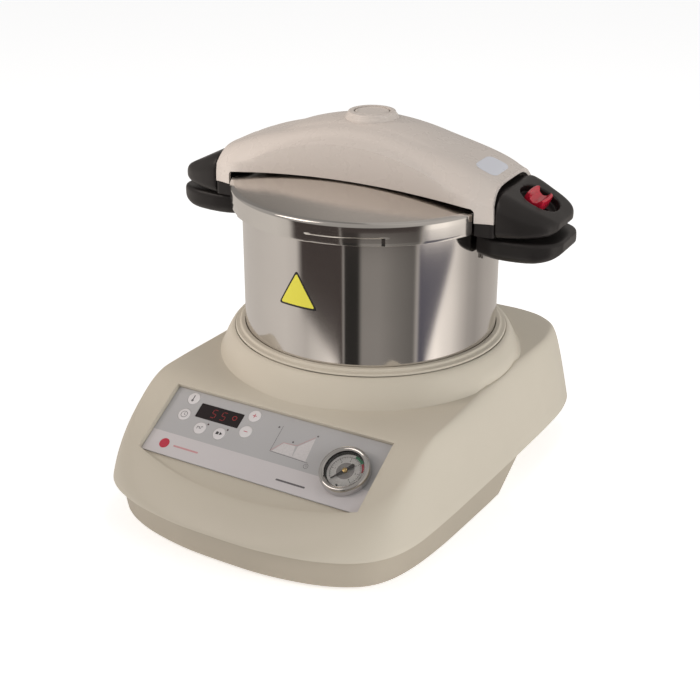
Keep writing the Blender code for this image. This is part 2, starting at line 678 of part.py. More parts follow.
def make_lock(looks, seat, grip):
    """Finger slide in an oval well on the sloping top of the right lid handle."""
    slope = frame("lock_slope", (LOCK_S, 0, LOCK_Z), (0, LOCK_SLOPE, 0), seat)
    oval = rounded_rectangle(34 * MM, 35 * MM, 16 * MM, 6, (1.5 * MM, 0))
    cut(grip, place("lock_well_tool", prism(oval, -7 * MM, 20 * MM), None, slope))
    slot = block((16.2 * MM, 7.6 * MM, 13.5 * MM), (3.2 * MM, 0, -13 * MM))
    cut(grip, place("lock_slot_tool", slot, None, slope))
    side = [(-9, -6.6), (9, -6.6), (9, -0.6), (8.4, 2.8), (6.6, 3.4), (3.8, -0.8), (0, -2.0), (-3.8, -0.8),
            (-6.6, 3.4), (-8.4, 2.8), (-9, -0.6)]
    loops = []
    for y, scale in ((-11.2, 0.8), (-10.2, 0.92), (-6, 0.97), (0, 1.0), (6, 0.97), (10.2, 0.92), (11.2, 0.8)):
        loops.append([(x * scale * MM, y * MM, z * MM) for x, z in side])
    slide = place("lock_slider", loft(loops), looks["red"], slope)
    stem = block((8.6 * MM, 7 * MM, 12 * MM), (0, 0, -12 * MM))
    join(slide, place("lock_stem_tool", stem, None, slope))


# ---------------------------------------------------------------- control panel

def make_panel(looks, panel):
    sheet = prism(rounded_rectangle(PANEL_W, PANEL_H, 1.5 * MM), -PANEL_T, 0.0)
    overlay = place("control_overlay", sheet, looks["panel"], panel)
    holes = [moved(disc(KEY_R + GAP, -5 * MM, 5 * MM, 24), Matrix.Translation((x, y, 0))) for x, y in KEYS.values()]
    holes.append(moved(disc(19.2 * MM, -5 * MM, 5 * MM, 32), Matrix.Translation((GAUGE_X, GAUGE_Y, 0))))
    frame_hole = rounded_rectangle(DISPLAY_W + 2 * GAP, DISPLAY_H + 2 * GAP, 0.8 * MM, center=DISPLAY)
    holes.append(prism(frame_hole, -5 * MM, 5 * MM))
    cut(overlay, place("overlay_hole_tool", merged(*holes), None, panel))
    glass = prism(rounded_rectangle(DISPLAY_W, DISPLAY_H, 0.6 * MM), -0.95 * MM, -0.05 * MM)
    place("display_window", glass, looks["black_glass"], panel, (*DISPLAY, 0))
    for name, (x, y) in KEYS.items():
        dome = [(0, -0.6), (KEY_R / MM, -0.6), (KEY_R / MM, 0.1), (4.6, 0.34), (0, 0.4)]
        place(name, turned([(r * MM, z * MM) for r, z in dome], 20), looks["key"], panel, (x, y, 0))
    board = block((138 * MM, 46 * MM, 1.6 * MM), (-30 * MM, 6 * MM, -12.4 * MM))
    control = place("control_board", board, looks["board"], panel)
    module = block((46 * MM, 16 * MM, 6 * MM), (*DISPLAY, -10.4 * MM))
    join(control, place("display_module_tool", module, None, panel))


def make_gauge(looks, panel):
    dial = frame("gauge_axis", (GAUGE_X, GAUGE_Y, 0), (0, 0, 0), panel)

    def part(name, profile, look, steps=32):
        return place(name, turned([(r * MM, z * MM) for r, z in profile], steps), looks[look], dial)
    part("gauge_case", [(0, -33), (3, -33), (3, -25), (18.8, -25), (18.8, 6.8), (17.9, 6.8), (17.9, -24), (0, -24)],
         "black")
    part("gauge_bezel", [(19.2, 0.3), (20.6, 0.3), (21, 1.4), (21, 5.6), (20.4, 7.6), (19.2, 8.4), (17.4, 8.2),
                         (16.2, 7.1), (19.2, 7.1)], "chrome")
    part("gauge_lens", [(0, 6.0), (17.6, 6.0), (17.6, 6.7), (0, 6.7)], "glass")
    part("gauge_dial", [(1.3, 2.7), (17.5, 2.7), (17.5, 3.3), (1.3, 3.3)], "dial")
    part("gauge_movement", [(0, -18), (9, -18), (9, 2.2), (0, 2.2)], "brass", 16)
    needle = [(12.6, -0.4), (12.6, 0.4), (1.6, 1.0), (-8.6, 1.3), (-8.6, -1.3), (1.6, -1.0)]
    blade = place("gauge_needle", prism([(x * MM, y * MM) for x, y in needle], 4.2 * MM, 4.7 * MM),
                  looks["black"], dial, rotation=(0, 0, radians(232)))
    profile = [(0, 2.6), (0.9, 2.6), (0.9, 3.8), (2.0, 3.8), (2.0, 5.5), (0, 5.5)]
    hub = turned([(r * MM, z * MM) for r, z in profile], 16)
    join(blade, place("needle_hub_tool", hub, None, dial))
    return dial


# ---------------------------------------------------------------- services

def make_services(looks, base, rear):
    board = place("power_board", block((64 * MM, 1.6 * MM, 44 * MM), (-56 * MM, 116 * MM, 30 * MM)),
                  looks["board"], base)
    coil = block((38 * MM, 17 * MM, 30 * MM), (-66 * MM, 125 * MM, 28 * MM), 1.5 * MM)
    join(board, place("transformer_tool", coil, None, base))

    manifold = block((80 * MM, 18 * MM, 10 * MM), (41 * MM, 122 * MM, 10.9 * MM), MM)
    place("air_manifold", manifold, looks["aluminium"], base)
    for name, x in (("inlet_valve", 18), ("exhaust_valve", 62)):
        foot = place(name, block((20 * MM, 18 * MM, 12 * MM), (x * MM, 122 * MM, 22.3 * MM)), looks["brass"], base)
        coil = block((18 * MM, 22 * MM, 24 * MM), (x * MM, 122 * MM, 40 * MM), 1.5 * MM)
        join(foot, place(name + "_coil_tool", coil, None, base))

    fitting = [(3, -14), (5.9, -14), (5.9, 0.4), (9, 0.4), (9, 4.5), (6.6, 5), (6.6, 14), (5.6, 15), (3, 15)]
    place("air_inlet_fitting", turned([(r * MM, z * MM) for r, z in fitting], 20), looks["brass"], rear,
          (41 * MM, 0, 0))
    muffler = [(0, -10), (4.9, -10), (4.9, 0.4), (7, 0.4), (7, 4), (6, 4.4), (6, 14), (4, 17.5), (0, 18)]
    place("exhaust_silencer", turned([(r * MM, z * MM) for r, z in muffler], 16), looks["brass"], rear,
          (72 * MM, 0, 0))

    spot = (-70 * MM, 0, 0)
    shell = prism(rounded_rectangle(28 * MM, 20 * MM, 3 * MM), -20 * MM, 0.4 * MM)
    inlet = place("mains_inlet", shell, looks["black"], rear, spot)
    join(inlet, place("inlet_flange_tool", prism(rounded_rectangle(34 * MM, 26 * MM, 3 * MM), 0.4 * MM, 3 * MM),
                      None, rear, spot))
    cut(inlet, place("inlet_socket_tool", prism(rounded_rectangle(24 * MM, 16.4 * MM, 3 * MM), -13 * MM, 9 * MM),
                     None, rear, spot))
    pins = [block((2 * MM, 5 * MM, 9.5 * MM), (x * MM, y * MM, -9 * MM)) for x, y in ((-7, 2), (7, 2), (0, -2.5))]
    join(inlet, place("inlet_pin_tool", merged(*pins), None, rear, spot))

    spot = (-32 * MM, 0, 0)
    bezel = place("switch_frame", prism(rounded_rectangle(13 * MM, 19 * MM, MM), -14 * MM, 0.4 * MM),
                  looks["black"], rear, spot)
    join(bezel, place("switch_flange_tool", prism(rounded_rectangle(17 * MM, 23 * MM, 1.5 * MM), 0.4 * MM, 2.2 * MM),
                      None, rear, spot))
    cut(bezel, place("switch_socket_tool", block((11 * MM, 17 * MM, 16 * MM), (0, 0, -4 * MM)), None, rear, spot))
    profile = [(-7.8, 1.3), (-7.7, 0.2), (-3, -5.2), (3, -5.2), (6.9, 2.4), (6.6, 4.4), (-0.5, 2.2)]
    rocker = loft([[(x * MM, y * MM, z * MM) for y, z in profile] for x in (-5.1, 5.1)])
    place("power_switch", rocker, looks["key"], rear, spot)


def make_hoses(looks, base):
    black = looks["rubber"]
    to_pot = [(18, 112.4, 11.2), (18, 108.5, 11.2), (17, 101, 12.6), (14, 88, 16), (8, 62, 24), (3, 38, 34), (0.4, 25, 39.6),
              (0, 18.5, 40), (0, 14.4, 40)]
    hose("pot_hose", to_pot, 2.6 * MM, black, base)
    to_gauge = [(78, -155.0, 46.3), (77.5, -150, 38), (70, -138, 28), (52, -112, 22), (32, -80, 23),
                (14, -50, 30), (2, -25, 38.6), (0, -18.5, 40), (0, -14.4, 40)]
    hose("gauge_hose", to_gauge, 2.4 * MM, black, base)
    supply = [(41, 137.5, 59.0), (41, 131, 56), (41, 125.5, 49), (41, 122.2, 38), (41, 122, 26), (41, 122, 16.3)]
    hose("supply_hose", supply, 2.6 * MM, black, base)


def make_looks():
    return {
        "beige": material("beige", (0.62, 0.55, 0.45), 0.45),
        "tray": material("tray", (0.48, 0.42, 0.34), 0.5),
        "black": material("black", (0.03, 0.028, 0.027), 0.45),
        "red": material("red", (0.5, 0.03, 0.05), 0.35),
        "steel": material("steel", (0.72, 0.71, 0.69), 0.2, 1.0),
        "aluminium": material("aluminium", (0.75, 0.75, 0.76), 0.4, 1.0),
        "dark_metal": material("dark_metal", (0.08, 0.08, 0.085), 0.5, 0.5),
        "brass": material("brass", (0.72, 0.55, 0.25), 0.3, 1.0),
        "chrome": material("chrome", (0.8, 0.8, 0.8), 0.08, 1.0),
        "rubber": material("rubber", (0.04, 0.04, 0.042), 0.8),
        "panel": material("panel", (0.5, 0.49, 0.48), 0.4),
        "key": material("key", (0.75, 0.73, 0.72), 0.4),
        "board": material("board", (0.05, 0.2, 0.09), 0.5),
        "black_glass": material("black_glass", (0.02, 0.01, 0.01), 0.1),
        "glass": material("glass", (0.9, 0.95, 0.95), 0.05),
        "dial": material("dial", (0.85, 0.85, 0.84), 0.4),
    }


def build():
    clear_scene()
    looks = make_looks()
    base = frame("appliance", (0, POT_AXIS_Y, 0))
    panel = frame("panel", (0, PANEL_Y, PANEL_Z), (PANEL_TILT, 0, 0), base)
    rear = frame("rear_wall", (0, REAR_Y, REAR_Z), (-(pi / 2 - REAR_TILT), 0, 0), base)
    make_housing(looks["beige"], base, panel, rear)
    make_tray(looks["tray"], base)
    make_feet(looks["rubber"], base)
    make_heater(looks, base)
    make_pot(looks, base)
    make_pot_handles(looks, base)
    make_collar(looks, base)
    arm = make_lid(looks, base)
    make_bridge(looks, arm)
    make_lid_handles(looks, arm)
    make_panel(looks, panel)
    make_gauge(looks, panel)
    make_services(looks, base, rear)
    make_hoses(looks, base)


build()
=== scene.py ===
"""Looks of the pressure curing unit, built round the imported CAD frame.

Metres, +Z up. Shapes repeat the CAD's construction at a finer step; each piece rides on its CAD body.
"""

import json
from math import atan2, cos, pi, radians, sin, sqrt

import bmesh
import bpy
from mathutils import Matrix, Vector


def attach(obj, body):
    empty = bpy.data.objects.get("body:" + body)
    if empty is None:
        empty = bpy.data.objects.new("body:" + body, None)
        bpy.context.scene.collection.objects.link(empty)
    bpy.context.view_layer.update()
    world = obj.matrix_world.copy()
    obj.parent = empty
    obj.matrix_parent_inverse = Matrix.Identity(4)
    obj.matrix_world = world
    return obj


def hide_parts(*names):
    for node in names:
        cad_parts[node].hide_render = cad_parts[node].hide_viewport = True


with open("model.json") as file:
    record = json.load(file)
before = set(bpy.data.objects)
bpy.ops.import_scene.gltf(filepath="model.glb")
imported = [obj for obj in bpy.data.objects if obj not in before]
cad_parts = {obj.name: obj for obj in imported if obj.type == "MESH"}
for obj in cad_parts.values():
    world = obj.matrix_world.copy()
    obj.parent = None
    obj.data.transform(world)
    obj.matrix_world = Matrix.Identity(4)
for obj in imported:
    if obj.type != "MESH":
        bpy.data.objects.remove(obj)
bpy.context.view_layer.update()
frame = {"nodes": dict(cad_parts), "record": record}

MM = 0.001
AXIS_Y = 36.9 * MM
PANEL_Y, PANEL_Z, PANEL_TILT = -170.5, 76.0, radians(31)
PANEL_HALF = (104.0, 32.25)
GAUGE_SPOT, GAUGE_HOLE = (78, -2), 19.2
DISPLAY_SPOT = (-53, 16.2)
BASE = Matrix.Translation((0, AXIS_Y, 0))
PANEL = BASE @ Matrix.Translation((0, PANEL_Y * MM, PANEL_Z * MM)) @ Matrix.Rotation(PANEL_TILT, 4, 'X')
REAR = BASE @ Matrix.Translation((0, 152.8 * MM, 62 * MM)) @ Matrix.Rotation(-radians(78), 4, 'X')
RIGHT = BASE @ Matrix.Rotation(radians(2.8), 4, 'Z')
LEFT = BASE @ Matrix.Rotation(radians(182.8), 4, 'Z')
GAUGE = PANEL @ Matrix.Translation((GAUGE_SPOT[0] * MM, GAUGE_SPOT[1] * MM, 0))
LOCK = RIGHT @ Matrix.Translation((149.5 * MM, 0, 260.4 * MM)) @ Matrix.Rotation(radians(24.5), 4, 'Y')


# ---- materials

class Look:
    """A Principled material with object-space patterns added to it."""

    def __init__(self, name, color, roughness, metallic=0.0, **constants):
        self.material = bpy.data.materials.new(name)
        self.material.use_nodes = True
        self.tree = self.material.node_tree
        self.shader = self.tree.nodes["Principled BSDF"]
        self.color = (*color, 1.0)
        self.shader.inputs["Base Color"].default_value = self.color
        self.shader.inputs["Roughness"].default_value = roughness
        self.shader.inputs["Metallic"].default_value = metallic
        for socket, value in constants.items():
            self.shader.inputs[socket.replace("_", " ")].default_value = value
        self.coords = self.add("ShaderNodeTexCoord").outputs["Object"]
        self.normal = None

    def add(self, kind, **settings):
        node = self.tree.nodes.new(kind)
        for key, value in settings.items():
            setattr(node, key, value)
        return node

    def link(self, a, b):
        self.tree.links.new(a, b)

    def noise(self, scale, detail=4.0, stretch=None):
        node = self.add("ShaderNodeTexNoise")
        node.inputs["Scale"].default_value = scale
        node.inputs["Detail"].default_value = detail
        source = self.coords
        if stretch:
            mapping = self.add("ShaderNodeMapping")
            mapping.inputs["Scale"].default_value = stretch
            self.link(self.coords, mapping.inputs["Vector"])
            source = mapping.outputs["Vector"]
        self.link(source, node.inputs["Vector"])
        return node.outputs["Fac"]

    def ramp(self, value, low, high, start=0.0, end=1.0):
        node = self.add("ShaderNodeMapRange")
        for socket, number in zip(("From Min", "From Max", "To Min", "To Max"), (low, high, start, end)):
            node.inputs[socket].default_value = number
        self.link(value, node.inputs["Value"])
        return node.outputs["Result"]

    def tint(self, value, other):
        """Mix the colour towards another by a 0..1 value."""
        node = self.add("ShaderNodeMix", data_type='RGBA')
        node.inputs["A"].default_value = self.color
        node.inputs["B"].default_value = (*other, 1.0)
        self.link(value, node.inputs["Factor"])
        self.link(node.outputs["Result"], self.shader.inputs["Base Color"])
        return self

    def rough(self, value, low, high):
        self.link(self.ramp(value, 0.3, 0.7, low, high), self.shader.inputs["Roughness"])
        return self

    def bump(self, value, strength, distance):
        node = self.add("ShaderNodeBump")
        node.inputs["Strength"].default_value = strength
        node.inputs["Distance"].default_value = distance
        self.link(value, node.inputs["Height"])
        if self.normal:
            self.link(self.normal, node.inputs["Normal"])
        self.normal = node.outputs["Normal"]
        self.link(self.normal, self.shader.inputs["Normal"])
        return self


def plastic(name, color, roughness, dark=0.9, grain=1400.0, depth=0.00006, **constants):
    """Moulded plastic: faint mottling, a fine spark-eroded grain and slightly uneven gloss."""
    look = Look(name, color, roughness, **constants)
    broad = look.noise(9.0, 3.0)
    look.tint(look.ramp(broad, 0.35, 0.7), tuple(c * dark for c in color))
    look.rough(look.noise(60.0, 3.0), roughness - 0.04, roughness + 0.05)
    look.bump(look.noise(grain, 2.0), 0.35, depth)
    return look.material


def brushed(name, color, low, high, stretch, depth=0.00002, **constants):
    """Metal with fine parallel marks, drawn by stretched noise."""
    look = Look(name, color, low, 1.0, **constants)
    marks = look.noise(1.0, 3.0, stretch)
    soft = look.noise(14.0, 3.0)
    look.tint(look.ramp(soft, 0.3, 0.75), tuple(c * 0.93 for c in color))
    look.rough(marks, low, high)
    look.bump(marks, 0.25, depth)
    return look.material


def turned_metal(name, color, low, high, depth=0.00002):
    """Metal with concentric lathe marks about the pot's axis."""
    look = Look(name, color, low, 1.0)
    split = look.add("ShaderNodeSeparateXYZ")
    move = look.add("ShaderNodeVectorMath", operation='SUBTRACT')
    move.inputs[1].default_value = (0.0, AXIS_Y, 0.0)
    look.link(look.coords, move.inputs[0])
    flat = look.add("ShaderNodeVectorMath", operation='MULTIPLY')
    flat.inputs[1].default_value = (1.0, 1.0, 0.0)
    look.link(move.outputs["Vector"], flat.inputs[0])
    length = look.add("ShaderNodeVectorMath", operation='LENGTH')
    look.link(flat.outputs["Vector"], length.inputs[0])
    look.link(look.coords, split.inputs["Vector"])
    joined = look.add("ShaderNodeCombineXYZ")
    look.link(length.outputs["Value"], joined.inputs["X"])
    look.link(split.outputs["Z"], joined.inputs["Z"])
    rings = look.add("ShaderNodeTexNoise")
    rings.inputs["Scale"].default_value = 2600.0
    rings.inputs["Detail"].default_value = 3.0
    look.link(joined.outputs["Vector"], rings.inputs["Vector"])
    cloud = look.noise(18.0, 3.0)
    look.tint(look.ramp(cloud, 0.3, 0.75), tuple(c * 0.94 for c in color))
    look.rough(rings.outputs["Fac"], low, high)
    look.bump(rings.outputs["Fac"], 0.2, depth)
    return look.material


def print_ink(name, color, roughness=0.45):
    """Printed ink or film with a faint unevenness."""
    look = Look(name, color, roughness)
    look.tint(look.ramp(look.noise(900.0, 2.0), 0.4, 0.8), tuple(c * 0.88 for c in color))
    return look.material


def glow(name, color, strength):
    look = Look(name, tuple(c * 0.2 for c in color), 0.4)
    look.shader.inputs["Emission Color"].default_value = (*color, 1.0)
    look.shader.inputs["Emission Strength"].default_value = strength
    look.bump(look.noise(3000.0), 0.1, 0.00001)
    return look.material


def clear_glass():
    look = Look("clear_lens", (1.0, 1.0, 1.0), 0.02, 0.0, Transmission_Weight=1.0, IOR=1.45)
    look.bump(look.noise(200.0), 0.02, 0.00001)
    return look.material


BEIGE = plastic("beige_plastic", (0.58, 0.525, 0.43), 0.38, 0.965, 1500.0, 0.00004)
TRAY = plastic("tray_plastic", (0.44, 0.385, 0.305), 0.48, 0.93, 1500.0, 0.00006)
COVER = plastic("cover_plastic", (0.60, 0.54, 0.49), 0.27, 0.98, 1700.0, 0.000008)
BLACK = plastic("black_phenolic", (0.012, 0.010, 0.0095), 0.36, 1.5, 1100.0, 0.00005)
RED = plastic("red_plastic", (0.52, 0.012, 0.035), 0.24, 0.8, 1500.0, 0.00002, Coat_Weight=0.4)
STEEL = turned_metal("polished_steel", (0.78, 0.755, 0.735), 0.055, 0.10, 0.000003)
LID_STEEL = turned_metal("lid_steel", (0.78, 0.76, 0.735), 0.06, 0.11, 0.000003)
# Painted shade: a darker, warmer copy of the lid steel for the lid's top, standing in for the dimmer
# reflection there; its rougher gloss is the top's own finish.
SHADED_LID_TOP = turned_metal("lid_top_steel_painted_shade", (0.70, 0.66, 0.62), 0.14, 0.22, 0.000004)
ALUMINIUM = brushed("aluminium", (0.74, 0.74, 0.75), 0.3, 0.45, (60.0, 900.0, 900.0))
DARK_METAL = brushed("painted_steel", (0.03, 0.03, 0.032), 0.4, 0.55, (80.0, 700.0, 700.0))
BRASS = brushed("brass", (0.70, 0.50, 0.20), 0.2, 0.36, (700.0, 700.0, 60.0))
CHROME = brushed("chrome", (0.62, 0.61, 0.60), 0.05, 0.11, (90.0, 90.0, 700.0), 0.000005)
PLAIN_STEEL = brushed("plain_steel", (0.66, 0.65, 0.64), 0.22, 0.38, (80.0, 80.0, 900.0))
RUBBER = plastic("rubber", (0.018, 0.018, 0.019), 0.72, 1.6, 700.0, 0.0001)
PANEL_GREY = plastic("panel_film_grey", (0.45, 0.44, 0.44), 0.36, 0.95, 2500.0, 0.00002)
PANEL_LIGHT = plastic("panel_film_light", (0.60, 0.565, 0.565), 0.36, 0.96, 2500.0, 0.00002)
KEY = plastic("key_film", (0.70, 0.67, 0.67), 0.33, 0.95, 2500.0, 0.00002)
WINDOW = plastic("display_tint", (0.008, 0.004, 0.005), 0.12, 1.5, 900.0, 0.000004)
BOARD = plastic("board", (0.02, 0.14, 0.05), 0.4, 0.7, 500.0, 0.00005)
DIAL = print_ink("dial_white", (0.78, 0.78, 0.77))
DIAL_GREY = print_ink("dial_grey", (0.30, 0.29, 0.29))
INK = print_ink("ink_black", (0.015, 0.014, 0.015))
INK_GREY = print_ink("ink_grey", (0.13, 0.12, 0.125))
INK_RED = print_ink("ink_red", (0.50, 0.03, 0.06))
INK_ROSE = print_ink("ink_rose", (0.58, 0.30, 0.31))
INK_GREEN = print_ink("ink_green", (0.02, 0.28, 0.12))
INK_PALE = print_ink("ink_pale", (0.60, 0.57, 0.565))
YELLOW = plastic("yellow_film", (0.72, 0.66, 0.06), 0.3, 0.93, 1800.0, 0.00001)
LABEL = plastic("label_film", (0.66, 0.67, 0.72), 0.3, 0.95, 1800.0, 0.00001)
SEGMENT = glow("red_segment", (0.42, 0.03, 0.035), 0.30)
LED_OFF = print_ink("led_dark", (0.05, 0.015, 0.015), 0.25)
LENS = clear_glass()


# ---- shape helpers

def show(name, data):
    made = bpy.data.objects.new(name, data)
    bpy.context.collection.objects.link(made)
    return made


def mesh_of(name, bm):
    mesh = bpy.data.meshes.new(name)
    bm.to_mesh(mesh)
    bm.free()
    return mesh


def piece(name, bm, look, body, at=None, replaces=(), angle=32.0, merge=1e-7):
    """Make a named object from a bmesh, set it on its CAD body and let it stand for CAD nodes."""
    if at is not None:
        bmesh.ops.transform(bm, matrix=at, verts=bm.verts[:])
    bmesh.ops.remove_doubles(bm, verts=bm.verts[:], dist=merge)
    bmesh.ops.recalc_face_normals(bm, faces=bm.faces[:])
    mesh = mesh_of(name, bm)
    mesh.materials.append(look)
    mesh.shade_smooth()
    mesh.set_sharp_from_angle(angle=radians(angle))
    made = show(name, mesh)
    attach(made, body)
    if replaces:
        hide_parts(*replaces)
    return made


def face_up(made, up):
    for polygon in made.data.polygons:
        if polygon.normal.dot(up) < 0:
            polygon.flip()
    return made


def tool(bm, at=None):
    """Make a cutter, which carve removes once the cut is made."""
    if at is not None:
        bmesh.ops.transform(bm, matrix=at, verts=bm.verts[:])
    bmesh.ops.recalc_face_normals(bm, faces=bm.faces[:])
    return show("tool", mesh_of("tool", bm))


def settle(made):
    """Replace a piece's mesh by what its modifiers make of it."""
    bpy.context.view_layer.update()
    graph = bpy.context.evaluated_depsgraph_get()
    mesh = bpy.data.meshes.new_from_object(made.evaluated_get(graph))
    made.modifiers.clear()
    made.data = mesh
    return made


def carve(made, *tools, operation='DIFFERENCE'):
    for cutter in tools:
        step = made.modifiers.new("carve", 'BOOLEAN')
        step.operation = operation
        step.solver = 'EXACT'
        step.object = cutter
    settle(made)
    for cutter in tools:
        bpy.data.objects.remove(cutter, do_unlink=True)
    return made


def soften(made, voxel, rounds, factor=0.5):
    """Melt a carved solid into one skin with softly rounded edges."""
    step = made.modifiers.new("skin", 'REMESH')
    step.mode = 'VOXEL'
    step.voxel_size = voxel
    step.use_smooth_shade = True
    step = made.modifiers.new("soft", 'SMOOTH')
    step.factor = factor
    step.iterations = rounds
    settle(made)
    made.data.shade_smooth()
    return made


def bevel(made, angle, width, segments):
    """Round every edge that is sharper than an angle."""
    step = made.modifiers.new("edge", 'BEVEL')
    step.limit_method = 'ANGLE'
    step.angle_limit = radians(angle)
    step.width = width * MM
    step.segments = segments
    settle(made)


def smooth_again(made, angle=32.0):
    made.data.shade_smooth()
    made.data.set_sharp_from_angle(angle=radians(angle))
    return made


def turned(profile, steps=160):
    bm = bmesh.new()
    verts = [bm.verts.new((r * MM, 0.0, z * MM)) for r, z in profile]
    edges = [bm.edges.new(pair) for pair in zip(verts, verts[1:])]
    if profile[0][0] > 0.0:
        edges.append(bm.edges.new((verts[-1], verts[0])))
    bmesh.ops.spin(bm, geom=verts + edges, cent=(0, 0, 0), axis=(0, 0, 1),
                   angle=2 * pi, steps=steps, use_merge=True)
    bmesh.ops.remove_doubles(bm, verts=bm.verts[:], dist=1e-8)
    bmesh.ops.dissolve_degenerate(bm, edges=bm.edges[:], dist=1e-8)
    return bm


def cylinder(radius, low, high, steps):
    return turned([(0, low), (radius, low), (radius, high), (0, high)], steps)


def filleted(corners, steps=4):
    """Outline through corners (x, y, reach), each rounded from reach before it to reach after it."""
    points = []
    count = len(corners)
    for i, (x, y, reach) in enumerate(corners):
        corner = Vector((x, y))
        if reach <= 0:
            points.append((x, y))
            continue
        before = Vector(corners[i - 1][:2]) - corner
        after = Vector(corners[(i + 1) % count][:2]) - corner
        start = corner + before.normalized() * min(reach, before.length * 0.49)
        end = corner + after.normalized() * min(reach, after.length * 0.49)
        for k in range(steps + 1):
            t = k / steps
            spot = start * (1 - t) ** 2 + corner * 2 * t * (1 - t) + end * t * t
            points.append((spot.x, spot.y))
    return points


def loft(rings, closed=False):
    bm = bmesh.new()
    loops = [[bm.verts.new(p) for p in ring] for ring in rings]
    count = len(loops[0])
    pairs = list(zip(loops, loops[1:]))
    if closed:
        pairs.append((loops[-1], loops[0]))
    for low, high in pairs:
        for i in range(count):
            j = (i + 1) % count
            bm.faces.new((low[i], low[j], high[j], high[i]))
    if not closed:
        bm.faces.new(loops[0][::-1])
        bm.faces.new(loops[-1])
    return bm


def prism(outline, low, high):
    """Straight prism from an outline in mm between two heights in mm."""
    return loft([[(x * MM, y * MM, z * MM) for x, y in outline] for z in (low, high)])


def box(size, center):
    bm = bmesh.new()
    spot = Matrix.Translation([c * MM for c in center])
    bmesh.ops.create_cube(bm, size=1.0, matrix=spot @ Matrix.Diagonal([s * MM for s in size] + [1.0]))
    return bm


def joined(*parts):
    bm = bmesh.new()
    for part in parts:
        mesh = mesh_of("part", part)
        bm.from_mesh(mesh)
        bpy.data.meshes.remove(mesh)
    return bm


def shifted(bm, x=0.0, y=0.0, z=0.0):
    bmesh.ops.translate(bm, verts=bm.verts[:], vec=(x * MM, y * MM, z * MM))
    return bm


def rounded_rectangle(width, height, radius, steps=6, center=(0.0, 0.0)):
    points = []
    for sx, sy, start in ((1, 1, 0.0), (-1, 1, pi / 2), (-1, -1, pi), (1, -1, 3 * pi / 2)):
        for i in range(steps + 1):
            a = start + pi / 2 * i / steps
            points.append((center[0] + sx * (width / 2 - radius) + radius * cos(a),
                           center[1] + sy * (height / 2 - radius) + radius * sin(a)))
    return points


def skin(outline, cuts, place):
    """Fine grid inside an outline in mm, with each point sent to place(x, y)."""
    bm = bmesh.new()
    face = bm.faces.new([bm.verts.new((x, y, 0)) for x, y in outline])
    bmesh.ops.triangulate(bm, faces=[face])
    bmesh.ops.subdivide_edges(bm, edges=bm.edges[:], cuts=cuts, use_grid_fill=True)
    for vert in bm.verts:
        vert.co = place(vert.co.x, vert.co.y)
    return bm


def circle(radius, steps=48, center=(0.0, 0.0)):
    return [(center[0] + radius * cos(2 * pi * i / steps), center[1] + radius * sin(2 * pi * i / steps))
            for i in range(steps)]


def catmull(p0, p1, p2, p3, t):
    return 0.5 * (2 * p1 + (p2 - p0) * t + (2 * p0 - 5 * p1 + 4 * p2 - p3) * t * t
                  + (3 * p1 - p0 - 3 * p2 + p3) * t ** 3)


def smooth_loop(points, steps):
    count = len(points)
    fine = []
    for i in range(count):
        near = [points[(i + k) % count] for k in (-1, 0, 1, 2)]
        for k in range(steps):
            fine.append(catmull(*near, k / steps))
    return fine


def smooth_line(points, steps):
    ends = [points[0] * 2 - points[1]] + points + [points[-1] * 2 - points[-2]]
    fine = []
    for i in range(len(points) - 1):
        for k in range(steps):
            fine.append(catmull(*ends[i:i + 4], k / steps))
    return fine + [points[-1]]


def mirrored_loop(half, steps):
    right = [Vector(p) for p in half]
    left = [Vector((-p.x, p.y)) for p in reversed(right[1:-1])]
    return smooth_loop(right + left, steps)


def inset(loop, distance):
    moved = []
    for i, point in enumerate(loop):
        along = loop[(i + 1) % len(loop)] - loop[i - 1]
        moved.append(point + Vector((-along.y, along.x)).normalized() * distance)
    return moved


def smooth_low(a, b, blend):
    h = max(blend - abs(a - b), 0.0) / blend
    return min(a, b) - h * h * blend / 4


def ease(value, low, high):
    t = min(max((value - low) / (high - low), 0.0), 1.0)
    return t * t * (3 - 2 * t)


# ---- base casing

SEAM_Z = 32.0
SEAM = [(0, -244.5), (40, -243.2), (81, -235.5), (112, -222), (131, -203), (141, -176), (145, -132),
        (147, -70), (148.5, 0), (149, 60), (147, 100), (138, 132), (119, 149), (98, 156), (75, 158.2),
        (40, 158.8), (0, 159)]
TRAY_TOP = [(0, -238), (40, -236.5), (80, -229), (110, -215), (127, -197), (136, -170), (140.5, -130),
            (143, -70), (144.5, -5), (144, 10), (131, 27), (106, 52), (98, 66), (97, 100), (96, 138),
            (88, 147), (45, 148.5), (0, 149)]
TRAY_LOW = [(0, -234), (40, -232.5), (80, -224.5), (109, -211), (125, -193), (134, -166), (139, -128),
            (141.5, -80), (143, -36), (141.5, -22), (127, -2), (104, 24), (96.5, 42), (95, 85), (94, 134),
            (86, 143.5), (45, 145), (0, 145.5)]
DECK_Z, DECK_RISE = 102.5, 0.012
WALL_SLOPE = 4.9
FACE = 4.2
COLLAR = [(133.0, None), (130.2, 107.2), (127.8, 113.2), (125.2, 118.3), (123.2, 121.6), (121.4, 123.8),
          (119.6, 124.5), (118.3, 123.9), (118.0, 122.0), (118.0, 112.0)]
INNER_COLLAR = [(129.0, None), (124.2, 114.0), (121.4, 118.8), (121.2, 112.0)]


def top_height(y, raise_by, drop=0.0):
    """Height of the casing's top: the fascia's slope, blended into a nearly level deck."""
    slope = PANEL_Z + (raise_by + (y - PANEL_Y) * sin(PANEL_TILT)) / cos(PANEL_TILT)
    return smooth_low(DECK_Z + DECK_RISE * y - drop, slope, 8.0)


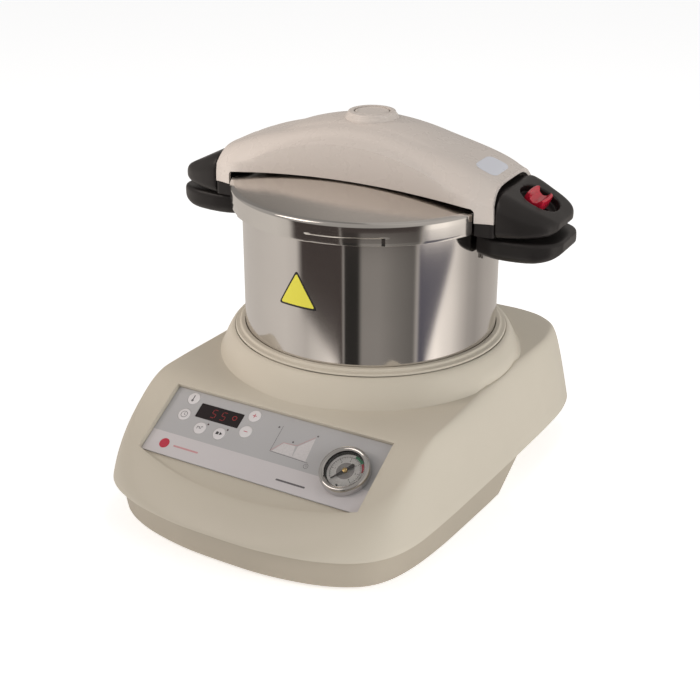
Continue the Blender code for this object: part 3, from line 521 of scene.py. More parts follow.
def casing_column(point, thickness, steps, bands, collar):
    """Points up one radial line of the casing: wall, rounded edge, deck and collar."""
    toward = (-point).normalized()
    raise_by = -FACE if thickness else FACE
    width = min(22.0, point.length - (130.5 - thickness))

    def height(distance):
        return top_height((point + toward * distance).y, raise_by, thickness) - SEAM_Z

    end = Vector((width, height(width)))
    rise = height(width + 1.0) - height(width)
    crossing = max((end.y - rise * end.x) / (WALL_SLOPE - rise), 0.3)
    corner = Vector((crossing, WALL_SLOPE * crossing))
    fullness = 0.82 - 0.22 * min(max((toward.y - 0.6) / 0.3, 0.0), 1.0)
    first, second = corner * fullness, end.lerp(corner, fullness)
    column = []
    for i in range(steps + 1):
        t = i / steps
        spot = 3 * (1 - t) ** 2 * t * first + 3 * (1 - t) * t * t * second + t ** 3 * end
        ground = point + toward * spot.x
        column.append((ground.x, ground.y, SEAM_Z + spot.y))
    reach = point.length - width
    foot = min(collar[0][0], reach - 0.6)
    for k in range(bands):
        ground = -toward * (reach + (foot - reach) * (k + 1) / bands)
        column.append((ground.x, ground.y, top_height(ground.y, raise_by, thickness)))
    for radius, level in collar[1:]:
        column.append((-toward.x * radius, -toward.y * radius, level))
    return column


def casing_rings(thickness, steps, bands, collar):
    outline = inset(mirrored_loop(SEAM, 8), thickness)
    columns = [casing_column(p, thickness, steps, bands, collar) for p in outline]
    return [[Vector(c[k]) * MM for c in columns] for k in range(len(columns[0]))]


def crescent(margin, count=48):
    """Recess in the fascia: the panel's rectangle and a shallow arc below it."""
    half = PANEL_HALF[0] + margin
    high = PANEL_HALF[1] + margin
    low = -PANEL_HALF[1]
    depth = 19.3
    points = [(half, low), (half, high), (-half, high), (-half, low)]
    radius = (half ** 2 + depth ** 2) / (2 * depth)
    spread = atan2(half, radius - depth)
    for i in range(1, count):
        a = -spread + 2 * spread * i / count
        points.append((radius * sin(a), low - depth + radius * (1 - cos(a))))
    return points


def make_casing():
    rings = casing_rings(0.0, 16, 10, COLLAR) + casing_rings(3.0, 5, 4, INNER_COLLAR)[::-1]
    casing = piece("casing", loft(rings, closed=True), BEIGE, "base", BASE, ["upper_housing"])
    recess = tool(prism(crescent(0.4), -1.3, 30.0), PANEL)
    window = prism(rounded_rectangle(40, 11.5, 1.0, center=DISPLAY_SPOT), -30, 1)
    port = shifted(cylinder(GAUGE_HOLE, -30, 1, 64), *GAUGE_SPOT)
    openings = tool(joined(window, port), PANEL)
    inlet = box((28.6, 20.6, 30), (-70, 0, 0))
    switch = box((13.6, 19.6, 30), (-32, 0, 0))
    fittings = [shifted(cylinder(radius, -15, 15, 40), x) for x, radius in ((41, 6.4), (72, 5.4))]
    carve(casing, recess, openings, tool(joined(inlet, switch, *fittings), REAR))
    bevel(casing, 40, 0.45, 2)
    return smooth_again(casing, 38.0)


def make_tray():
    low, top = mirrored_loop(TRAY_LOW, 8), mirrored_loop(TRAY_TOP, 8)

    def level(loop, z):
        return [Vector((p.x, p.y, z)) * MM for p in loop]

    rings = [level(inset(low, 2.2), 3.0), level(inset(low, 0.7), 3.4), level(low, 5.0)]
    for k in range(1, 9):
        t = k / 8
        rings.append(level([a.lerp(b, t) for a, b in zip(low, top)], 5.0 + 24.4 * t))
    rings.append(level(inset(top, 2.5), 29.4))
    rings.append(level(inset([a.lerp(b, 0.1) for a, b in zip(low, top)], 2.5), 5.5))
    tray = piece("tray", loft(rings), TRAY, "base", BASE, ["lower_tray"], angle=40)
    slots = tool(joined(*[box((60, 4, 12), (0, -165 + 12 * k, 4)) for k in range(4)]), BASE)
    carve(tray, slots)
    edge = [(p.x, p.y) for p in inset(mirrored_loop(SEAM, 8), 2.4)]
    flange = piece("tray_flange", prism(edge, 29.4, 31.8), TRAY, "base", BASE)
    hollow = [(p.x, p.y) for p in inset(top, 2.5)]
    carve(flange, tool(prism(hollow, 20.0, 40.0), BASE))
    return smooth_again(tray, 40.0)


def make_collar():
    profile = filleted([(110.4, 114, 0), (116.6, 114, 0), (116.6, 124.9, 0), (119.0, 125.0, 0.3),
                        (118.4, 126.6, 0.6), (115.0, 127.2, 0.8), (114.0, 129.2, 0.7), (110.4, 129.4, 0.4)])
    piece("collar_ring_fine", turned(profile, 240), BEIGE, "base", BASE, ["collar_ring"])


# ---- pot and lid

POT_RADIUS = 110
LID_RADIUS = 119.8


def make_pot():
    """Spun pot; the extra rings on its wall keep the reflections straight."""
    floor = [(6.2, 74.4, 0), (101, 74.4, 4), (POT_RADIUS, 83, 5)]
    wall = [(POT_RADIUS, z, 0) for z in (90, 120, 180, 236, 239.8)]
    rim = [(POT_RADIUS, 241.5, 1.0), (112, 244, 1), (112, 246, 0.5), (108.5, 246, 0.5)]
    inside = [(108.5, 83, 5), (101, 76.4, 4), (6.2, 76.4, 0)]
    profile = filleted(floor + wall + rim + inside, 6)
    piece("pot", turned(profile, 256), STEEL, "base", BASE, ["pot_body"])


LUGS = [radians(-73.0 + 72.0 * k) for k in range(5)]


def lug_share(angle):
    """1 inside a bayonet lug's arc, 0 outside it."""
    nearest = min(abs((angle - lug + pi) % (2 * pi) - pi) for lug in LUGS)
    return 1.0 - ease(nearest, radians(14.2), radians(15.2))


def dome(radius):
    return 265.5 - radius * radius / 1194.0


def make_lid():
    top = [(r, dome(r), 0) for r in (8.3, 18, 30, 42, 54, 66, 78, 88, 97, 105, 112)]
    under = [(r, z - 2.0, 0) for r, z, _ in reversed(top)]
    edge = [(116.7, 254.1, 0.5), (LID_RADIUS, 252.4, 2.6)]
    skirt = [(LID_RADIUS, z, 0) for z in (246, 243.4, 242.8, 242.4, 242.1, 241.4, 238)]
    hem = [(LID_RADIUS, 235.5, 0.35), (118.1, 235.5, 0.35), (118.1, 250.6, 1), (115.8, 252.0, 0)]
    bm = turned(filleted(top + edge + skirt + hem + under, 6), 360)
    for vert in bm.verts:
        radius = Vector(vert.co.xy).length / MM
        if radius > 117.0 and vert.co.z < 242.7 * MM:
            share = lug_share(atan2(vert.co.y, vert.co.x))
            inward = 0.9 * share * ease(242.8 - vert.co.z / MM, 0.0, 0.7)
            vert.co.xy = vert.co.xy * (radius - inward) / radius
    shell = piece("lid_shell", bm, LID_STEEL, "lid", RIGHT, ["lid"], angle=50)
    # The lid's upward faces take the darker copy of its steel: painted shade on the lid's top.
    shell.data.materials.append(SHADED_LID_TOP)
    for polygon in shell.data.polygons:
        if polygon.normal.z > 0.97:
            polygon.material_index = 1
    section = ((112.3, 236.5), (117.4, 236.5), (117.4, 238.7), (112.3, 238.7))
    for number, middle in enumerate(LUGS):
        turns = [middle + radians(-15 + 30 * i / 24) for i in range(25)]
        rings = [[Vector((r * cos(a), r * sin(a), z)) * MM for r, z in section] for a in turns]
        piece("lid_lug_%d" % number, loft(rings), LID_STEEL, "lid", RIGHT)


# ---- bridge cover

COVER_END = 128.5
LEG_START = 113.4
ALONG = [0, 6, 12, 18, 24, 30, 37, 44, 51, 58, 65, 72, 79, 86, 92, 98, 103, 107, 110, 111, 112, 112.7,
         113.1, 113.38, 113.42, 116, 119, 122, 125, 127.6, 128.5]
ACROSS = [0.992, 0.98, 0.965, 0.945, 0.92, 0.89, 0.855, 0.815, 0.775, 0.735, 0.7, 0.67, 0.64, 0.61, 0.575,
          0.54, 0.505, 0.475, 0.445, 0.415, 0.38, 0.33, 0.27, 0.2, 0.1, 0.0]


def ridge(s):
    return 309.4 - 2.89e-3 * s ** 2 + 4.98e-8 * s ** 4


def cover_half(s):
    return 48.0 - 5.2 * ease(abs(s), 104.0, COVER_END)


def cover_edge(s):
    """Height of the cover's lower edge: an arch between two legs."""
    s = abs(s)
    if s >= LEG_START:
        return 245.8
    arch = 264.8 - 7.8 * (s / LEG_START) ** 2
    corner = 3.5
    if s > LEG_START - corner:
        arch -= corner - sqrt(max(corner ** 2 - (s - LEG_START + corner) ** 2, 0.0))
    return arch


def side_top(s):
    """Where the upright side wall turns into the rounded top."""
    return 275.5 - 13.5 * min(abs(s) / COVER_END, 1.0) ** 2


def cover_height(s, w):
    """Outer face: a rounded body and a raised spine that dies out towards the ends."""
    w = abs(w)
    spine = 1.0 - ease(abs(s), 55.0, 106.0)
    crest = ridge(s)
    body_top = crest - 3.5 * spine
    power = 6.0 - min(abs(s) / COVER_END, 1.0) ** 3
    body = body_top - (body_top - side_top(s)) * (w / cover_half(s)) ** power
    raised = crest - 2.3 * (min(w, 21.0) / 21.0) ** 2 - 0.5 * max(w - 21.0, 0.0) - 3.0 * (1.0 - spine)
    return -smooth_low(-body, -raised, 1.5)


def cover_profile(s, inner):
    wall = 3.0 if inner else 0.0
    outer = cover_half(s)
    half = outer - wall
    edge = cover_edge(s)
    side = max(side_top(s) - 0.4 * wall, edge + 1.0)
    points = [(half, edge + (side - edge) * k / 4) for k in range(5)]
    for t in ACROSS:
        points.append((half * t, cover_height(s, outer * t) - wall))
    return points


def leaned(s, w, z):
    """Point on the cover, whose ends lean in a little towards the top."""
    return Vector((s * (1.0 - 0.02 * ease(z, 250, 275) * ease(abs(s), 113.5, COVER_END)), w, z)) * MM


def cover_loop(s, inner):
    half = cover_profile(s, inner)
    full = [(-w, z) for w, z in half] + [(w, z) for w, z in reversed(half[:-1])]
    return [leaned(s, w, z) for w, z in full]


def make_cover():
    spots = [-s for s in reversed(ALONG[1:])] + ALONG
    bands = [cover_loop(s, False) + cover_loop(s, True)[::-1] for s in spots]
    cover = piece("cover", loft(bands), COVER, "lid", RIGHT, ["bridge_cover"])
    boss = filleted([(15.2, 302, 0), (23.4, 302, 0), (22.3, 308.8, 2.4), (20.3, 310.6, 1.2),
                     (19.8, 312.7, 0.9), (18.2, 313, 0.6), (15.2, 313, 0.4)], 6)
    carve(cover, tool(turned(boss, 96), RIGHT), operation='UNION')
    carve(cover, tool(cylinder(15.2, 290, 330, 96), RIGHT))
    bevel(cover, 50, 0.6, 3)
    smooth_again(cover, 40.0)
    button = filleted([(0, 272.8, 0), (4, 272.8, 0.4), (4, 306, 0), (14.4, 306, 0.4), (14.4, 312.4, 0.7),
                       (12.4, 312.9, 0.3), (11.6, 312.4, 0.3), (0, 312.6, 0)], 4)
    piece("button", turned(button, 96), COVER, "vent", RIGHT, ["vent_button"])
    outline = rounded_rectangle(20, 33, 7, 8, (111.0, -4.5))
    laid = skin(outline, 5, lambda s, w: leaned(s, w, cover_height(s, w) + 0.1))
    face_up(piece("cover_label", laid, LABEL, "lid", RIGHT), Vector((0, 0, 1)))


# ---- handles

POT_GRIP = [(100, 24, 213.4, 230.6, 3, 5), (116, 32, 213.4, 231, 3, 6), (130, 36, 213.4, 231.3, 3.2, 7),
            (148, 36, 213.8, 231.8, 3.4, 7.5), (160, 34.2, 214.8, 232, 3.6, 7.5),
            (169, 29.4, 216.8, 231.9, 3.6, 6.6),
            (174.5, 23.6, 219.6, 231.4, 3.4, 5.2), (177.6, 16, 222.4, 230.4, 2.6, 3.4)]
LID_GRIP = [(129.6, 42, 234.4, 267.9, 14, 5), (133, 42, 234.5, 267.4, 14, 5),
            (140, 41, 234.7, 264.6, 13, 5.5), (150, 38.5, 235, 259.8, 11.5, 6),
            (160, 34.5, 235.8, 255.4, 9.5, 6), (167, 29.5, 237, 251.8, 7, 5.4),
            (171, 24.5, 238.7, 248.9, 5, 4), (173.3, 17, 240.6, 245.9, 2.6, 2.2)]
LID_ROOT = [(102, 38.5, 234.4, 262, 12, 4), (118, 38.5, 234.4, 267, 15, 4),
            (129.2, 38.5, 234.4, 268, 15, 4.5)]


def grip_section(half, low, high, top_round, low_round, steps=8):
    """Handle section, rounder above than below: outline in its own YZ plane."""
    room = (high - low) / 2 - 0.1
    up, down = min(top_round, room * 1.3, half - 0.2), min(low_round, room * 0.7, half - 0.2)
    points = []
    corners = ((1, high - up, up, 0.0), (-1, high - up, up, pi / 2), (-1, low + down, down, pi),
               (1, low + down, down, 3 * pi / 2))
    for side, middle, radius, start in corners:
        for i in range(steps + 1):
            a = start + pi / 2 * i / steps
            points.append((side * (half - radius) + radius * cos(a), middle + radius * sin(a)))
    return points


def grip(stations, root=(), steps=5):
    places = smooth_line([Vector(s[:4]) for s in stations], steps)
    rounds = smooth_line([Vector(s[4:]) for s in stations], steps)
    rows = list(root) + [(*spot, *edge) for spot, edge in zip(places, rounds)]
    return loft([[Vector((x, y, z)) * MM for y, z in grip_section(*shape)] for x, *shape in rows])


def around_lid(at):
    """Cutter that clears the lid's skirt."""
    return tool(cylinder(121.2, 215, 257.8, 128), at)


def make_pot_handle(side, at):
    grip_low = piece("pot_grip_" + side, grip(POT_GRIP), BLACK, "base", at, ["pot_handle_" + side])
    around_pot = cylinder(112.9, 200, 240, 128)
    bracket_slot = box((44, 17, 4.8), (120, 0, 221))
    screw_bore = shifted(cylinder(5.8, 205, 217, 40), 130)
    carve(grip_low, tool(around_pot, at), tool(bracket_slot, at), tool(screw_bore, at))
    soften(grip_low, 0.9 * MM, 4)


def make_lid_handle(side, at):
    high = piece("lid_grip_" + side, grip(LID_GRIP, LID_ROOT), BLACK, "lid", at, ["lid_handle_" + side])
    carve(high, around_lid(at), tool(box((22, 30, 8), (98, 0, 260)), at))
    carve(high, tool(box((7, 12, 8), (124, -40, 239.5)), at))
    if side == "right":
        well = prism(rounded_rectangle(34, 35, 16, 14, (1.5, 0)), -7.0, 20.0)
        slot = box((16.2, 7.6, 13.5), (3.2, 0, -13))
        carve(high, tool(well, LOCK), tool(slot, LOCK))
    soften(high, 0.9 * MM, 4)
    wing = prism(rounded_rectangle(25, 87, 4, 6, (116.8, 0)), 234.7, 245.2)
    root = piece("lid_grip_root_" + side, wing, BLACK, "lid", at)
    carve(root, around_lid(at), tool(box((40, 76.2, 40), (120, 0, 240)), at))
    smooth_again(root)


def make_slide():
    section = [(-9, -6.6), (9, -6.6), (9, -0.6), (8.4, 2.8), (6.6, 3.4), (3.8, -0.8), (0, -2.0),
               (-3.8, -0.8), (-6.6, 3.4), (-8.4, 2.8), (-9, -0.6)]
    widths = ((-11.2, 0.8), (-10.2, 0.92), (-6, 0.97), (0, 1.0), (6, 0.97), (10.2, 0.92), (11.2, 0.8))
    loops = [[Vector((x * scale, y, z)) * MM for x, z in section] for y, scale in widths]
    slide = piece("slide", loft(loops), RED, "lock", LOCK, ["lock_slider"])
    soften(slide, 0.35 * MM, 4)


def make_handles():
    for side, at in (("right", RIGHT), ("left", LEFT)):
        make_pot_handle(side, at)
        make_lid_handle(side, at)
    make_slide()


# ---- printed film

def ribbon(points, width, height=0.0):
    """Flat strip along a line of panel points, in mm."""
    spots = [Vector(p) for p in points]
    left, right = [], []
    for i, spot in enumerate(spots):
        before = (spot - spots[i - 1]).normalized() if i else (spots[1] - spot).normalized()
        after = (spots[i + 1] - spot).normalized() if i < len(spots) - 1 else before
        along = (before + after).normalized()
        across = Vector((-along.y, along.x)) * width / 2 / max(along.dot(after), 0.4)
        left.append(spot + across)
        right.append(spot - across)
    bm = bmesh.new()
    a = [bm.verts.new((p.x * MM, p.y * MM, height * MM)) for p in left]
    b = [bm.verts.new((p.x * MM, p.y * MM, height * MM)) for p in right]
    for i in range(len(a) - 1):
        bm.faces.new((b[i], b[i + 1], a[i + 1], a[i]))
    return bm


def patch(outline, height=0.0):
    bm = bmesh.new()
    bm.faces.new([bm.verts.new((x * MM, y * MM, height * MM)) for x, y in outline])
    return bm


def arc(radius, start, end, center=(0.0, 0.0), steps=24):
    return [(center[0] + radius * cos(radians(start + (end - start) * i / steps)),
             center[1] + radius * sin(radians(start + (end - start) * i / steps))) for i in range(steps + 1)]


def printed(name, parts, look, at, lift=0.04, body="base"):
    """Ink: a thin skin just above the surface that carries it."""
    bm = joined(*parts)
    made = piece(name, bm, look, body, at @ Matrix.Translation((0, 0, lift * MM)))
    return face_up(made, at.to_3x3() @ Vector((0, 0, 1)))


KEYS = {"key_temperature": (-84.4, 25.0), "key_time": (-84.4, 8.4), "key_program": (-63.4, 0.2),
        "key_start": (-44.0, 0.2), "key_plus": (-22.5, 24.4), "key_minus": (-22.5, 8.5)}
KEY_TOP = 0.44


def digit(shape, x, y, width, height, thick=0.65):
    """Seven-segment figure as separate bars, leaning a little."""
    lean = 0.12
    across, up = 0.12, 0.07
    spots = {"a": ((0, 1), (1, 1)), "c": ((1, 0.5), (1, 0)), "d": ((0, 0), (1, 0)),
             "f": ((0, 1), (0, 0.5)), "g": ((0, 0.5), (1, 0.5))}
    bars = []
    for key in shape:
        ends = []
        (x0, y0), (x1, y1) = spots[key]
        for px, py in ((x0 * (1 - across) + x1 * across, y0 * (1 - up) + y1 * up),
                       (x0 * across + x1 * (1 - across), y0 * up + y1 * (1 - up))):
            ends.append((x + px * width + py * height * lean, y + py * height))
        bars.append(ribbon(ends, thick))
    return bars


def gauge_hole():
    return shifted(cylinder(GAUGE_HOLE, -5, 5, 64), *GAUGE_SPOT)


def make_film():
    holes = [shifted(cylinder(5.8, -5, 5, 48), x, y) for x, y in KEYS.values()]
    holes.append(gauge_hole())
    holes.append(prism(rounded_rectangle(43, 14, 0.8, center=DISPLAY_SPOT), -5, 5))
    sheet = prism(rounded_rectangle(2 * PANEL_HALF[0], 2 * PANEL_HALF[1], 1.6), -1.0, 0.0)
    film = piece("panel_film", sheet, PANEL_GREY, "base", PANEL, ["control_overlay"])
    carve(film, tool(joined(*holes), PANEL))
    band = [(-103.6, -11.6), (-103.6, -30.6), (-102.4, -31.9), (102.4, -31.9), (103.6, -30.6), (103.6, -11.0)]
    light = piece("panel_band", prism(band, 0.0, 0.05), PANEL_LIGHT, "base", PANEL)
    carve(light, tool(gauge_hole(), PANEL))


def mark(key, parts, look):
    """Print a sign on top of a key."""
    x, y = KEYS["key_" + key]
    at = PANEL @ Matrix.Translation((x * MM, y * MM, KEY_TOP * MM))
    printed("mark_" + key, parts, look, at, 0.0, "key_" + key + "_cap")


def make_keys():
    for name, (x, y) in KEYS.items():
        cap = filleted([(0, -0.6, 0), (5.6, -0.6, 0), (5.6, 0.16, 0.2), (4.9, 0.36, 0.3), (0, 0.42, 0)])
        piece(name + "_cap", shifted(turned(cap, 64), x, y), KEY, name + "_cap", PANEL, [name])
    mark("temperature", [patch(circle(1.15, 24, (-0.3, -2.2))),
                         ribbon([(-0.3, -1.6), (-0.3, 2.9)], 1.0)], INK_GREY)
    mark("time", [ribbon(arc(2.9, 0, 360), 0.45), ribbon([(0, 1.9), (0, 0), (1.4, -0.6)], 0.45)], INK_GREY)
    steps = [(-2.6, -1.3), (-2.6, 0.9), (-0.6, 0.9), (-0.6, -0.4), (1.0, -0.4), (1.0, 1.5), (2.6, 1.5)]
    mark("program", [ribbon(steps, 0.55)], INK_GREY)
    mark("start", [patch([(-3.0, -1.3), (-0.5, -1.3), (-0.5, 1.3), (-3.0, 1.3)]),
                   patch([(0.5, -1.6), (3.1, 0), (0.5, 1.6)])], INK)
    mark("plus", [ribbon([(-1.9, 0), (1.9, 0)], 0.6), ribbon([(0, -1.9), (0, 1.9)], 0.6, 0.01)], INK_RED)
    mark("minus", [ribbon([(-1.9, 0), (1.9, 0)], 0.6)], INK_RED)


def make_chart():
    fill = [patch([(8.2, -1.4), (14.6, 8.2), (25.6, 8.2), (27.4, -1.6)]),
            patch([(27.6, -1.6), (27.8, 8.8), (38.6, 19.6), (40.4, -2.2)])]
    printed("chart_fill", fill, INK_PALE, PANEL)
    printed("chart_axes", [ribbon([(6.4, 22.5), (6.8, -1.8), (43.0, -2.9)], 0.35)], INK_GREY, PANEL, 0.06)
    curve = [ribbon([(7.0, -1.2), (14.2, 8.4), (26.4, 9.0), (38.4, 20.6)], 0.42)]
    printed("chart_curve", curve, INK_ROSE, PANEL, 0.08)
    spots = ((0.9, (3.4, 20.8)), (0.85, (21.8, 11.2)), (0.85, (39.6, 22.0)))
    printed("chart_dots", [patch(circle(radius, 20, spot)) for radius, spot in spots], INK_GREY, PANEL, 0.08)
    clock = [ribbon(arc(2.0, 0, 360, (42.9, -6.0)), 0.3),
             ribbon([(42.9, -4.8), (42.9, -6.0), (43.8, -6.4)], 0.3)]
    printed("chart_clock", clock, INK_GREY, PANEL, 0.06)


def make_panel():
    make_film()
    make_keys()
    make_chart()
    leds = [patch(circle(0.85, 20, (x, 5.5))) for x in (-58.0, -38.5)]
    printed("panel_leds", leds, LED_OFF, PANEL, 0.06)
    printed("round_mark", [patch(circle(4.6, 48, (-86.2, -21.8)))], INK_RED, PANEL, 0.1)
    for name, length, spot, ink in (("plain_bar", 25, (-64.5, -21.9), INK_ROSE),
                                    ("plain_bar_dark", 27, (38.2, -24.0), INK_GREY)):
        printed(name, [patch(rounded_rectangle(length, 1.6, 0.8, 6, spot))], ink, PANEL, 0.1)
    glass = prism(rounded_rectangle(42.4, 13.4, 0.6), -0.95, -0.02)
    at = PANEL @ Matrix.Translation((DISPLAY_SPOT[0] * MM, DISPLAY_SPOT[1] * MM, 0))
    piece("display_glass", glass, WINDOW, "base", at, ["display_window"])
    lit = digit("acdfg", -61.0, 12.4, 4.2, 7.6) + digit("acdfg", -51.6, 12.4, 4.2, 7.6)
    lit.append(ribbon(arc(1.9, 0, 360, (-38.6, 17.4)), 0.8))
    printed("display_figures", lit, SEGMENT, PANEL, 0.02)


# ---- gauge

def figure(name, text, size, look, at):
    """A printed number, centred on a place."""
    curve = bpy.data.curves.new(name, 'FONT')
    curve.body = text
    curve.size = size * MM
    curve.align_x = 'CENTER'
    curve.align_y = 'CENTER'
    source = show(name + "_source", curve)
    bpy.context.view_layer.update()
    mesh = bpy.data.meshes.new_from_object(source.evaluated_get(bpy.context.evaluated_depsgraph_get()))
    bpy.data.objects.remove(source, do_unlink=True)
    mesh.transform(at)
    mesh.materials.clear()
    mesh.materials.append(look)
    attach(show(name, mesh), "base")


DIAL_Z = 3.3
SWEEP_START, SWEEP = 225, 270


def make_gauge():
    bezel = filleted([(19.3, 0.3, 0), (20.8, 0.3, 0.3), (21, 1.4, 0.3), (21, 5.4, 1.4), (20.0, 8.2, 1.1),
                      (17.6, 8.3, 1.2), (16.2, 7.2, 0.2), (19.3, 7.1, 0)], 5)
    piece("bezel", turned(bezel, 128), CHROME, "base", GAUGE, ["gauge_bezel"])
    case = filleted([(0, -33, 0), (3, -33, 0), (3, -25, 0), (18.8, -25, 1), (18.8, 6.8, 0), (17.9, 6.8, 0),
                     (17.9, -24, 0), (0, -24, 0)])
    piece("gauge_cup", turned(case, 96), BLACK, "base", GAUGE, ["gauge_case"])
    lens = filleted([(0, 5.9, 0), (17.6, 5.9, 0), (17.6, 6.7, 0), (0, 6.7, 0)])
    piece("gauge_glass", turned(lens, 96), LENS, "base", GAUGE, ["gauge_lens"])
    plate = filleted([(1.3, 2.7, 0), (17.5, 2.7, 0), (17.5, DIAL_Z, 0.1), (1.3, DIAL_Z, 0.1)])
    piece("dial_plate", turned(plate, 96), DIAL, "base", GAUGE, ["gauge_dial"])
    face = GAUGE @ Matrix.Translation((0, 0, DIAL_Z * MM))
    printed("dial_edge", [ribbon(arc(16.2, 0, 360, steps=96), 2.5)], INK, face, 0.02)
    printed("dial_core", [patch(circle(7.4, 64))], DIAL_GREY, face, 0.02)
    printed("dial_green", [ribbon(arc(14.3, 79, 43), 2.6)], INK_GREEN, face, 0.02)
    printed("dial_red", [ribbon(arc(14.3, 42, 9), 2.2)], INK_RED, face, 0.02)
    outer = 12.6
    ticks = [ribbon(arc(outer, SWEEP_START, SWEEP_START - SWEEP, steps=90), 0.22)]
    for k in range(31):
        a = radians(SWEEP_START - SWEEP * k / 30)
        inner, width = (11.5, 0.18) if k % 5 else (10.6, 0.34)
        ticks.append(ribbon([(r * cos(a), r * sin(a)) for r in (inner, outer)], width))
    printed("dial_ticks", ticks, INK, face, 0.04)
    for k in range(7):
        a = radians(SWEEP_START - SWEEP * k / 6)
        spot = Vector((9.0 * cos(a), 9.0 * sin(a), 0.05)) * MM
        figure("dial_figure_%d" % k, str(k), 2.2, INK, face @ Matrix.Translation(spot))
    post = filleted([(0, 0, 0), (0.8, 0, 0), (0.8, 1.2, 0.3), (0, 1.3, 0)])
    piece("needle_stop", shifted(turned(post, 24), -0.7, -13.7), INK, "base", face)
    blade = [(12.6, -0.35), (12.6, 0.35), (2.0, 0.9), (-3.2, 1.1), (-7.8, 1.5), (-8.6, 0), (-7.8, -1.5),
             (-3.2, -1.1), (2.0, -0.9)]
    turn = GAUGE @ Matrix.Rotation(radians(232), 4, 'Z')
    piece("needle", prism(blade, 4.2, 4.8), INK, "needle", turn, ["gauge_needle"])
    hub = filleted([(0, 3.5, 0), (2.1, 3.5, 0), (2.1, 5.2, 0.4), (1.2, 5.5, 0.3), (0, 5.5, 0)])
    piece("needle_hub", turned(hub, 40), BRASS, "needle", GAUGE)


# ---- stickers

STICKER_TURN = radians(-2.9)


def sticker(name, outline, height, gap, look):
    """Thin film bent onto the pot's wall, a small gap outside it."""
    radius = POT_RADIUS + gap

    def on_pot(x, y):
        turn = STICKER_TURN + x / radius
        return Vector((radius * sin(turn), -radius * cos(turn), height + y)) * MM

    made = piece(name, skin(outline, 3, on_pot), look, "base", BASE)
    for polygon in made.data.polygons:
        out = Vector((polygon.center.x, polygon.center.y - AXIS_Y, 0))
        if polygon.normal.dot(out) < 0:
            polygon.flip()


def triangle(width, height, corner):
    return filleted([(-width / 2, -height / 3, corner), (width / 2, -height / 3, corner),
                     (0, 2 * height / 3, corner)], 6)


def make_stickers():
    sticker("triangle_border", triangle(38.0, 32.0, 3.4), 184.7, 0.12, INK)
    sticker("triangle_field", triangle(33.0, 27.6, 2.4), 184.9, 0.2, YELLOW)


# ---- carried CAD nodes

def dress():
    """Give every CAD node the look of its material slot."""
    looks = {"steel": PLAIN_STEEL, "aluminium": ALUMINIUM, "dark_metal": DARK_METAL, "brass": BRASS,
             "chrome": CHROME, "rubber": RUBBER, "panel": PANEL_GREY, "key": KEY, "board": BOARD,
             "black": BLACK, "beige": BEIGE, "tray": TRAY, "red": RED, "black_glass": WINDOW,
             "glass": LENS, "dial": DIAL}
    slots = {s["node"]: s["material_slot"] for s in frame["record"]["subparts"]}
    for name, node in frame["nodes"].items():
        node.data.materials.clear()
        node.data.materials.append(looks[slots[name]])


# ---- studio

def aimed(holder, spot, target):
    holder.location = spot
    holder.rotation_euler = (Vector(target) - Vector(spot)).to_track_quat('-Z', 'Y').to_euler()
    return holder


def area_light(name, spot, target, size, power, color=(1, 1, 1)):
    light = bpy.data.lights.new(name, 'AREA')
    light.shape = 'RECTANGLE'
    light.size, light.size_y = size
    light.energy = power
    light.color = color
    return aimed(show(name, light), spot, target)


def spot_light(name, spot, target, cone, size, power, color):
    light = bpy.data.lights.new(name, 'SPOT')
    light.spot_size, light.spot_blend, light.shadow_soft_size = radians(cone), 1.0, size
    light.energy = power
    light.color = color
    return aimed(show(name, light), spot, target)


WORLD_LIGHT = 0.45
ROOM_LIGHT = 1.0
BROWN, SLATE = (0.062, 0.050, 0.046), (0.112, 0.106, 0.128)
# Brightness against azimuth in degrees, as mirror rays see it below and above the horizon.
LOW_ROOM = [(-180, 0.60), (-142, 0.66), (-120, 0.56), (-104, 0.80), (-95, 1.1), (-86, 1.1), (-83, 0.03),
            (-71, 0.03), (-68, 0.27), (-53, 0.27), (-38, 0.20), (-22, 0.145), (-12, 1.15), (0, 1.2),
            (8, 1.0), (17, 0.85), (27, 0.6), (37, 0.42), (48, 0.36), (62, 0.45), (79, 0.5), (120, 0.6),
            (179, 0.6)]
HIGH_ROOM = [(-180, 0.42), (-60, 0.36), (0, 0.5), (60, 0.42), (124, 0.42), (134, 0.24), (165, 0.24),
             (179, 0.4)]


